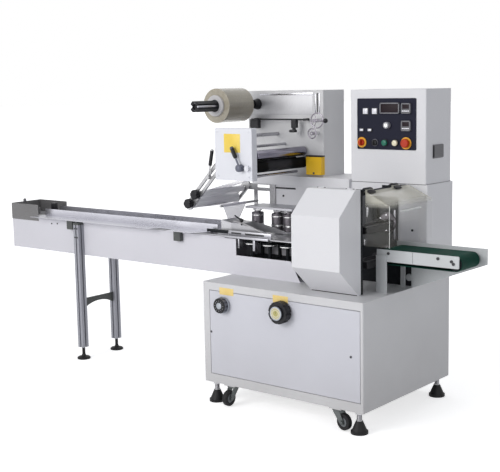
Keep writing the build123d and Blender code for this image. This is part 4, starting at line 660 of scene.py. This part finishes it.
dress(wound_film(), "film_roll")
dress(knob_black, "film_mandrel")
chuck_white = surface("chuck_nylon", (0.50, 0.49, 0.50), (0.56, 0.55, 0.56), (0.3, 0.45), fine=260)
turned("mandrel_chuck_front", at(reel_x, 213, reel_z), front_way,
       [(28, -11.6), (50.6, -11.6), (50.6, -1.6), (49, 0.6), (30, 0.6), (28, -1)], chuck_white, "reel", 48)
core_steel = surface("core_steel", (0.46, 0.46, 0.50), (0.60, 0.60, 0.64), (0.18, 0.3), metal=1.0, fine=200,
                     grain=(6, 0.3, 6), bump=0.02)
turned("mandrel_core", at(reel_x, 73, reel_z), (0, 1, 0),
       [(12.1, 0), (16.5, 0), (17.6, 1.5), (17.6, 140), (12.1, 140)], core_steel, "reel")

# ---- Film unit: plate, bars and rollers ----
# A white aluminium plate held off the column by three steel bars, with a ground steel roller, a
# black rubber roller, the yellow cover of their drive, a pressure lever and a square yellow foil.
plate_white = powder_coat("plate_white", (0.80, 0.81, 0.86), (0.76, 0.77, 0.82), (0.6, 0.6, 0.62), (0.32, 0.44),
                          edge=0.0012, wear=0.4)
bar_steel = surface("ground_steel", (0.36, 0.36, 0.39), (0.52, 0.52, 0.55), (0.16, 0.3), metal=1.0, fine=120,
                    grain=(1, 9, 1), bump=0.008, broad=7)
roller_steel = surface("roller_steel", (0.22, 0.21, 0.27), (0.38, 0.37, 0.42), (0.14, 0.26), metal=1.0, fine=110,
                       grain=(1, 12, 1), bump=0.004, broad=5)
roller_rubber = surface("roller_rubber", (0.003, 0.003, 0.003), (0.006, 0.006, 0.006), (0.6, 0.75), fine=600, bump=0.02,
                        specular=0.05)
cover_yellow = surface("cover_yellow", (0.86, 0.48, 0.010), (0.90, 0.57, 0.03), (0.32, 0.45), fine=320, bump=0.012,
                       edge=0.001, worn=(0.30, 0.17, 0.03), wear=0.8, specular=0.3)
dress(plate_white, "front_plate")
dress(bar_steel, "tie_bars")
dress(roller_steel, "steel_roller")
dress(roller_rubber, "rubber_roller")
# A thin black strip stands between the steel and rubber rollers: painted shade in their nip, closing the gap.
slabs("nip_wiper", [((-738, -736), (148, 538), (1119, 1139))], 0.3, roller_rubber)
dress(cover_yellow, "drive_cover")
foil_bright = surface("bright_yellow_foil", (0.86, 0.62, 0.085), (0.90, 0.68, 0.13), (0.35, 0.48), bump=0.006, broad=18)
slabs("unit_foil", [((-834, -737), (109.4, 110.1), (1174, 1260))], 0.25, foil_bright)
slabs("drive_cover_lip", [((-660, -568), (511.6, 542), (1132, 1139))], 0.8, knob_black)
screws("plate_screws", [(x, 110, z) for x in (-872, -686) for z in (1063, 1268)], 0.0045, plate_white, 5)
screws("drive_cover_screw", [(-614, 513, 1054)], 0.005, screw_black, 6)
lever_steel = surface("lever_steel", (0.085, 0.09, 0.12), (0.13, 0.14, 0.18), (0.4, 0.55), metal=0.5, fine=200)
dress(lever_steel, "clamp_lever")
lever_lean = math.radians(26)
lever_dir = Vector((-math.sin(lever_lean), 0, math.cos(lever_lean)))
lever_root = at(-729, 93, 1105)
turned("lever_grip", lever_root, lever_dir,
       [(4.6, 50), (8.2, 52), (9.6, 60), (9.9, 76), (9.2, 98), (6.5, 107), (0, 109)], knob_black, "pressure_lever", 28)
turned("lever_cap", at(-729, 81, 1105), front_way, [(0, -0.4), (12, -0.4), (12, 1.2), (10.5, 2.2), (0, 2.2)],
       lever_steel, "pressure_lever", 32)

# ---- Sloping arms, guide rollers and film ----
# Two slotted flat arms of anodised aluminium, held by black clamping knobs, carry two turning
# guide tubes. The film is one clear sheet that runs round every bar and narrows to the former.
arm_metal = surface("arm_anodised", (0.36, 0.36, 0.37), (0.48, 0.48, 0.49), (0.26, 0.4), metal=0.9, fine=150,
                    grain=(1, 8, 1), edge=0.0008, worn=(0.6, 0.6, 0.6), wear=0.5)
# The guide tubes are a paler, almost matt grey: painted light that lifts them out of the shade they sit in.
tube_grey_lightened = surface("tube_anodised_lightened", (0.62, 0.62, 0.65), (0.70, 0.70, 0.73), (0.42, 0.55), metal=0.05, fine=120,
                    grain=(1, 10, 1), bump=0.006)
film_clear = surface("clear_film", (0.84, 0.83, 0.91), (0.90, 0.89, 0.96), (0.34, 0.46), fine=26, grain=(1, 0.12, 1),
                     bump=0.004, specular=0.25)


def thin_out(finish, start, end, thick, thin):
    """Lets a clear sheet look denser at one height than at another."""
    tree = finish.node_tree
    where = add_node(tree, "ShaderNodeTexCoord").outputs["Object"]
    height = add_node(tree, "ShaderNodeSeparateXYZ", {"Vector": where}).outputs["Z"]
    tree.links.new(carry_over(tree, height, start, end, thick, thin), tree.nodes["Principled BSDF"].inputs["Alpha"])


# Denser and whiter where the film slopes to the former, nearly clear over the rollers: painted glare, the sheen clear
# film shows at a grazing view.
thin_out(film_clear, 0.99, 1.045, 0.5, 0.02)
dress(arm_metal, "film_arms")
dress(knob_black, "arm_knobs")
dress(tube_grey_lightened, "guide_roller_lower", "guide_roller_upper")
dress(film_clear, "film_web")
arm_slope = math.radians(46.2)
arm_way = Vector((math.cos(arm_slope), 0, math.sin(arm_slope)))
arm_low = at(-1086, 146, 918)
handle_lean = math.radians(12)
handle_way = Vector((math.sin(handle_lean), 0, math.cos(handle_lean)))
turned("arm_handle_grip", arm_low + arm_way * 0.185 - Vector((0, 0.010, 0)), handle_way,
       [(4.4, 54), (7.4, 55), (8.8, 62), (8.8, 126), (7, 134), (0, 135.5)], knob_black, steps=28)

# ---- Sensor rail and tension wheels ----
# A black rail on two posts along the column holds the print mark sensor and its block. The thin
# wheels beside it set the web's tension, the upper one with a crank and a ball knob.
rail_black = surface("rail_black", (0.02, 0.02, 0.022), (0.045, 0.045, 0.05), (0.25, 0.4), metal=0.6, edge=0.0006,
                     worn=(0.25, 0.25, 0.26), wear=0.5)
wheel_steel = surface("wheel_steel", (0.24, 0.22, 0.26), (0.38, 0.36, 0.40), (0.2, 0.34), metal=1.0, fine=240,
                      bump=0.008)
dress(rail_black, "sensor_rail")
dress(wheel_steel, "tension_wheel", "lower_tension_wheel")
knob_ball = bmesh.new()
bmesh.ops.create_uvsphere(knob_ball, u_segments=24, v_segments=14, radius=0.0114,
                          matrix=Matrix.Translation(at(-510, 466.7, 1308)))
build("tension_ball", knob_ball, knob_black, "tension")
slabs("sensor_stem", [((-722, -706), (488, 498), (1258, 1292))], 0.8, rail_black)
turned("sensor_foot", at(-718, 490, 1255), up_way, [(0, -5), (17, -5), (20, -2), (20, 4), (16, 8), (0, 8)], rail_black,
       steps=28)

# The column's front has a polished sheet behind the film, and a narrow guide rail to its right.
mirror_sheet = surface("polished_sheet", (0.50, 0.50, 0.52), (0.62, 0.62, 0.64), (0.4, 0.55), metal=0.3, fine=60,
                       grain=(10, 1, 1), bump=0.006, broad=6)
slabs("column_sheet", [((-1000, -636), (540.6, 542.2), (1332, 1438))], 0.4, mirror_sheet)
slabs("column_fold", [((-959, -634), (538.8, 541), (1428, 1438))], 0.6, bar_steel)
slabs("column_guide", [((-624, -618), (539.4, 542.2), (1336, 1436)), ((-600, -594), (539.4, 542.2), (1336, 1436))], 0.6,
      bar_steel)
slabs("column_guide_slot", [((-612, -606), (541.2, 542.2), (1336, 1436))], 0.2, dark_gap)

# ---- Former and fin seal ----
# The former is folded stainless sheet that shapes the film round the product. Three dark heads
# with bright collars hang from the shelf, and three pairs of wheels nip the seam under the table.
sheet_steel = surface("stainless_sheet", (0.30, 0.30, 0.32), (0.44, 0.44, 0.46), (0.3, 0.46), metal=0.8, fine=110,
                      grain=(1, 9, 9), broad=4, edge=0.0006)
head_dark = surface("seal_head", (0.10, 0.09, 0.10), (0.17, 0.16, 0.18), (0.3, 0.5), metal=0.8, fine=240, bump=0.02,
                    edge=0.0008, worn=(0.4, 0.4, 0.4), wear=0.5)
shelf_grey = surface("shelf_steel", (0.34, 0.34, 0.37), (0.44, 0.44, 0.47), (0.3, 0.45), metal=0.9, fine=160,
                     bump=0.012)
works_dark = surface("works_dark", (0.008, 0.010, 0.012), (0.020, 0.022, 0.026), (0.5, 0.7), metal=0.1, fine=90,
                     bump=0.03, broad=16, edge=0.001, worn=(0.18, 0.18, 0.19), wear=0.5, specular=0.12)
dress(sheet_steel, "forming_box")
dress(shelf_grey, "seal_shelf")
dress(head_dark, "seal_heads")
dress(works_dark, "fin_seal_wheels")
collars = bmesh.new()
for x in (-878, -754, -684):
    for z, profile, steps in ((800, [(30, 0), (32, 1), (32, 9), (30, 10)], 40),
                              (846, [(30, 0), (31.4, 0.8), (31.4, 5), (30, 6)], 40),
                              (871, [(16, 0), (22, 0), (22, 7), (20, 9), (16, 9)], 6)):
        add_turned(collars, at(x, 405, z), up_way, profile, steps)
build("head_collars", collars, bezel_steel)

# Plates on the table hold the former: a slotted side plate with its clamping knob, a dark link to
# the guides, a step at the table's edge, and bent film guides. The wheels below have bright rims.
slabs("former_side_plate", [((-925, -664), (236, 240), (764.2, 787))], 0.6, shelf_grey)
slots = [((-908, -846), (235.4, 236.4), (772, 779)), ((-822, -706), (235.4, 236.4), (771, 779))]
slabs("former_side_slots", slots, 0.3, dark_gap)
slabs("former_guide_link", [((-1064, -930), (234, 238), (770, 786))], 1.0, works_dark)
slabs("former_step", [((-927, -660), (206, 213), (756, 766))], 0.8, shelf_grey)
clamp_place = at(-864, 262, 836)
clamp_way = Vector((-40, -6, 24)).normalized()
turned("former_clamp_knob", clamp_place, clamp_way, [(0, -9), (7, -8), (9, -3), (9, 3), (7, 8), (0, 9)], knob_black,
       steps=24)
stem = bmesh.new()
add_turned(stem, clamp_place, clamp_way, [(0, 0), (3.6, 0), (3.6, 44), (0, 44)], 20)
add_turned(stem, at(-864, 262, 812), up_way, [(0, 0), (3.2, 0), (3.2, 24), (0, 24)], 20)
build("former_clamp_stem", stem, works_dark)
bend = bmesh.new()
rows = []
bend_steps = 14
for step in range(bend_steps + 1):
    share = step / bend_steps
    x = -912 + 178 * share
    z = 829 - 46 * share ** 1.6
    rows.append([bend.verts.new(at(x, y, z + lift)) for y, lift in ((254, 0), (262, 1), (262, 3), (254, 2))])
for first, second in zip(rows, rows[1:]):
    for side in range(4):
        bend.faces.new((first[side], first[(side + 1) % 4], second[(side + 1) % 4], second[side]))
bend.faces.new(rows[0])
bend.faces.new(reversed(rows[-1]))
build("former_film_guide", bend, chuck_white)
rims = bmesh.new()
for x in (-812, -706, -600):
    add_turned(rims, at(x, 279.5, 726), up_way, [(38.2, 0), (40, 0.6), (40, 4), (38.2, 4.8)], 40)
    add_turned(rims, at(x, 279.5, 731), up_way, [(0, 0), (12, 0), (12, 6), (9, 8), (0, 8)], 24)
build("fin_wheel_rims", rims, bezel_steel)
slabs("fin_wheel_bracket", [((-866, -850), (224, 262), (706, 752)), ((-766, -754), (224, 250), (700, 752))], 0.8,
      shelf_grey)

# ---- End seal ----
# A dark gear block carries the two turning jaws. A white sheet guard hinges up in front of them,
# and a bent clear cover hinges up over the way out.
chrome = surface("hard_chrome", (0.55, 0.55, 0.57), (0.66, 0.66, 0.68), (0.1, 0.2), metal=1.0, fine=200, bump=0.004)
jaw_steel = surface("jaw_steel", (0.022, 0.022, 0.026), (0.05, 0.05, 0.055), (0.3, 0.5), metal=0.5, fine=160, bump=0.02,
                    edge=0.0008, worn=(0.30, 0.30, 0.31), wear=0.6, specular=0.3)
clear_sheet = surface("clear_acrylic", (0.80, 0.78, 0.66), (0.84, 0.82, 0.72), (0.05, 0.09), fine=12, bump=0.0003,
                      specular=0.5)
thin_out(clear_sheet, 0.985, 0.955, 0.46, 0.03)
dress(works_dark, "jaw_frame")
dress(jaw_steel, "lower_jaw", "upper_jaw")
dress(coat_white, "end_seal_guard")
dress(clear_sheet, "clear_cover")
# A black strip under the guard's foot, in the shadow black finish: painted shade in the gap there.
slabs("guard_gasket", [((-340, -102), (108, 114), (578, 582))], 0.6, dark_gap)

# The jaw shafts run through a dark cast bearing plate on the enclosure, with two round housings.
jaw_levels = (693.5, 846.5)
jaw_x = -190
screw_circle = 35
bearing_cast = surface("bearing_cast", (0.042, 0.044, 0.048), (0.10, 0.102, 0.108), (0.5, 0.7), metal=0.1, fine=200,
                       bump=0.03, broad=9, edge=0.001, worn=(0.3, 0.3, 0.3), wear=0.5, specular=0.15)
slabs("jaw_bearing_plate", [((-334, -142), (503, 512.9), (646, 962))], 1.2, bearing_cast)
housings = bmesh.new()
housing_screws = []
for z in jaw_levels:
    add_turned(housings, at(jaw_x, 503.5, z), front_way, [(17, 0), (46, 0), (46, 9), (40, 15), (28, 17), (17, 17)], 48)
    for step in range(6):
        angle = math.radians(60 * step + 30)
        housing_screws.append((jaw_x + screw_circle * math.cos(angle), 488, z + screw_circle * math.sin(angle)))
build("jaw_bearing_housings", housings, head_dark)
screws("jaw_housing_screws", housing_screws, 0.0048, chrome, 8)
lines = bmesh.new()
for x, low, high in ((-286, 868, 912), (-300, 700, 760)):
    add_turned(lines, at(x, 480, low), up_way, [(0, 0), (5, 0), (5, high - low), (0, high - low)], 16)
build("jaw_spring_rods", lines, chrome)
slabs("jaw_slide_bar", [((-264, -240), (486, 503.2), (850, 922))], 1.0, works_dark)
slabs("jaw_slide_shelf", [((-326, -262), (480, 503.2), (792, 804)), ((-158, -148), (499, 503.2), (770, 905))], 1.0,
      shelf_grey)


def add_tilted(shape, centre, along, normal, size, edge):
    """Adds a block with its length along one way and its thickness along another."""
    along = Vector(along).normalized()
    normal = Vector(normal).normalized()
    turn = Matrix((along, normal.cross(along), normal)).transposed().to_4x4()
    add_block(shape, Matrix.Translation(centre) @ turn, Vector(size) / 1000, edge, 3)


# The cover's hinge leaves are black mouldings screwed to the clear sheet. Near-white strips along the sheet's bend and
# edges are painted highlights.
leaves = bmesh.new()
roof_way = (119, 0, -54)
roof_normal = (54, 0, 119)
for y in (177, 388):
    add_turned(leaves, at(-92, y - 26, 1030), (0, 1, 0), [(0, 0), (9, 0), (10, 2), (10, 50), (9, 52), (0, 52)], 24)
    add_tilted(leaves, at(-75, y, 1025), roof_way, roof_normal, (30, 46, 9), 4)
build("cover_hinge_leaves", leaves, knob_black, "side_cover")
edge_highlight_paint = surface("painted_edge_highlight", (0.80, 0.82, 0.80), (0.88, 0.90, 0.88), (0.08, 0.2), fine=90, bump=0.004,
                      specular=0.7)
thin_out(edge_highlight_paint, 0.985, 0.955, 0.9, 0.75)
edges = [((33.4, 35.6), (149.4, 151.6), (790, 969)), ((34.6, 36), (236, 410), (936, 943))]
slabs("cover_bright_edges", edges, 0.4, edge_highlight_paint, "side_cover")

# ---- Discharge conveyor ----
# A ribbed green belt over two drums on a slider bed, between a low near rail and a taller far
# plate with a gusset down to the base, both of brushed stainless.
belt_green = surface("belt_green", (0.001, 0.024, 0.016), (0.003, 0.046, 0.032), (0.55, 0.7), fine=420, bump=0.04,
                     broad=12, specular=0.08)
rail_sheet = surface("rail_stainless", (0.46, 0.48, 0.49), (0.55, 0.565, 0.58), (0.35, 0.5), metal=0.25, fine=120,
                     grain=(9, 1, 1), broad=4, edge=0.001)
slabs("discharge_back_plate", [((-326, -13), (426, 430), (578, 742))], 0.8, works_dark)
post_white = surface("post_grey", (0.30, 0.33, 0.32), (0.36, 0.39, 0.38), (0.4, 0.55), bump=0.012)
slabs("discharge_back_post", [((-62, -50), (418, 426), (578, 716))], 1.0, post_white)
turned("discharge_motor_end", at(-30, 425.8, 618), front_way, [(0, 0), (16, 0), (16, 8), (12, 12), (0, 13)], rail_sheet,
       steps=32)
dress(belt_green, "discharge_belt")
dress(rail_sheet, "discharge_near_rail", "discharge_far_plate")
dress(works_dark, "discharge_bed")
screws("near_rail_screws", [(-21, 232, 753), (219, 232, 752), (282, 232, 745), (291, 232, 735)], 0.0066, screw_black, 7)
slabs("near_rail_seam", [((97.6, 98.6), (231.4, 232.2), (717, 767))], 0, dark_gap)

# ---- Infeed table ----
# A long folded housing in white with a stainless table plate. Bent stainless guides stand on dark
# brackets, and a chain with upright pushers runs in the slot between them.
guide_steel = surface("guide_stainless", (0.54, 0.54, 0.59), (0.64, 0.64, 0.69), (0.22, 0.36), metal=0.9, fine=90,
                      grain=(0.8, 9, 9), bump=0.012, broad=3)
end_grey = surface("end_cover_steel", (0.12, 0.118, 0.12), (0.19, 0.187, 0.19), (0.36, 0.5), metal=0.3, fine=60,
                   grain=(1, 6, 6))
leg_metal = surface("leg_anodised", (0.27, 0.275, 0.31), (0.33, 0.335, 0.37), (0.36, 0.5), metal=0.5, fine=150,
                    grain=(9, 9, 0.6), edge=0.0006)
bar_dark = surface("bar_dark", (0.045, 0.05, 0.048), (0.08, 0.085, 0.083), (0.4, 0.6), metal=0.2, fine=240, bump=0.03)
chain_steel = surface("chain_steel", (0.14, 0.14, 0.14), (0.26, 0.26, 0.26), (0.25, 0.45), metal=1.0, bump=0.02)
panel_white = powder_coat("infeed_powder_coat", (0.69, 0.685, 0.735), (0.65, 0.645, 0.695), (0.60, 0.60, 0.62))
dress(panel_white, "infeed_front_panel", "infeed_housing")
screws("infeed_panel_screws", [(-2204, 213, 733), (-2156, 213, 736)], 0.0042, screw_black, 9)
screws("leg_screws", [(x, 173, z) for z in (726, 678) for x in (-1969, -1951)], 0.0042, screw_black, 10)
slabs("stop_block_face", [((-2343.6, -2310.4), (329.4, 352.6), (764, 829.6))], 2.5, knob_black)
slabs("infeed_panel_fold", [((-2312, -930), (208, 213.2), (752.4, 758))], 0.8, panel_white)
dress(sheet_steel, "infeed_bed")
dress(guide_steel, "product_guides")
dress(bar_dark, "guide_brackets", "leg_cross_bar")
dress(chain_steel, "pusher_chain")
dress(end_grey, "infeed_end_cover")
dress(leg_metal, "infeed_legs")
turned("end_knob", at(-2549, 307, 812), up_way, [(0, 18), (4, 18), (5.5, 12), (8.4, 20), (9, 27), (7, 34), (0, 36)],
       vent_grey, steps=24)
feet = bmesh.new()
foot_outline = [(0, 0), (36, 0), (36.5, 2), (36, 8), (31, 12), (13, 15), (10.5, 24), (8.4, 26), (8.4, 60), (0, 60)]
for y in (193, 442):
    add_turned(feet, at(-1960, y, 0.2), up_way, foot_outline, 36)
build("leg_foot_covers", feet, pad_black)
caps = [((-1981, -1939), (172, 214), (746, 758)), ((-1981, -1939), (421, 463), (746, 758))]
slabs("leg_caps", caps, 1.0, bar_dark)

# ---- The pattern pieces leave the scene ----
for pattern in patterns:
    bpy.data.objects.remove(pattern)
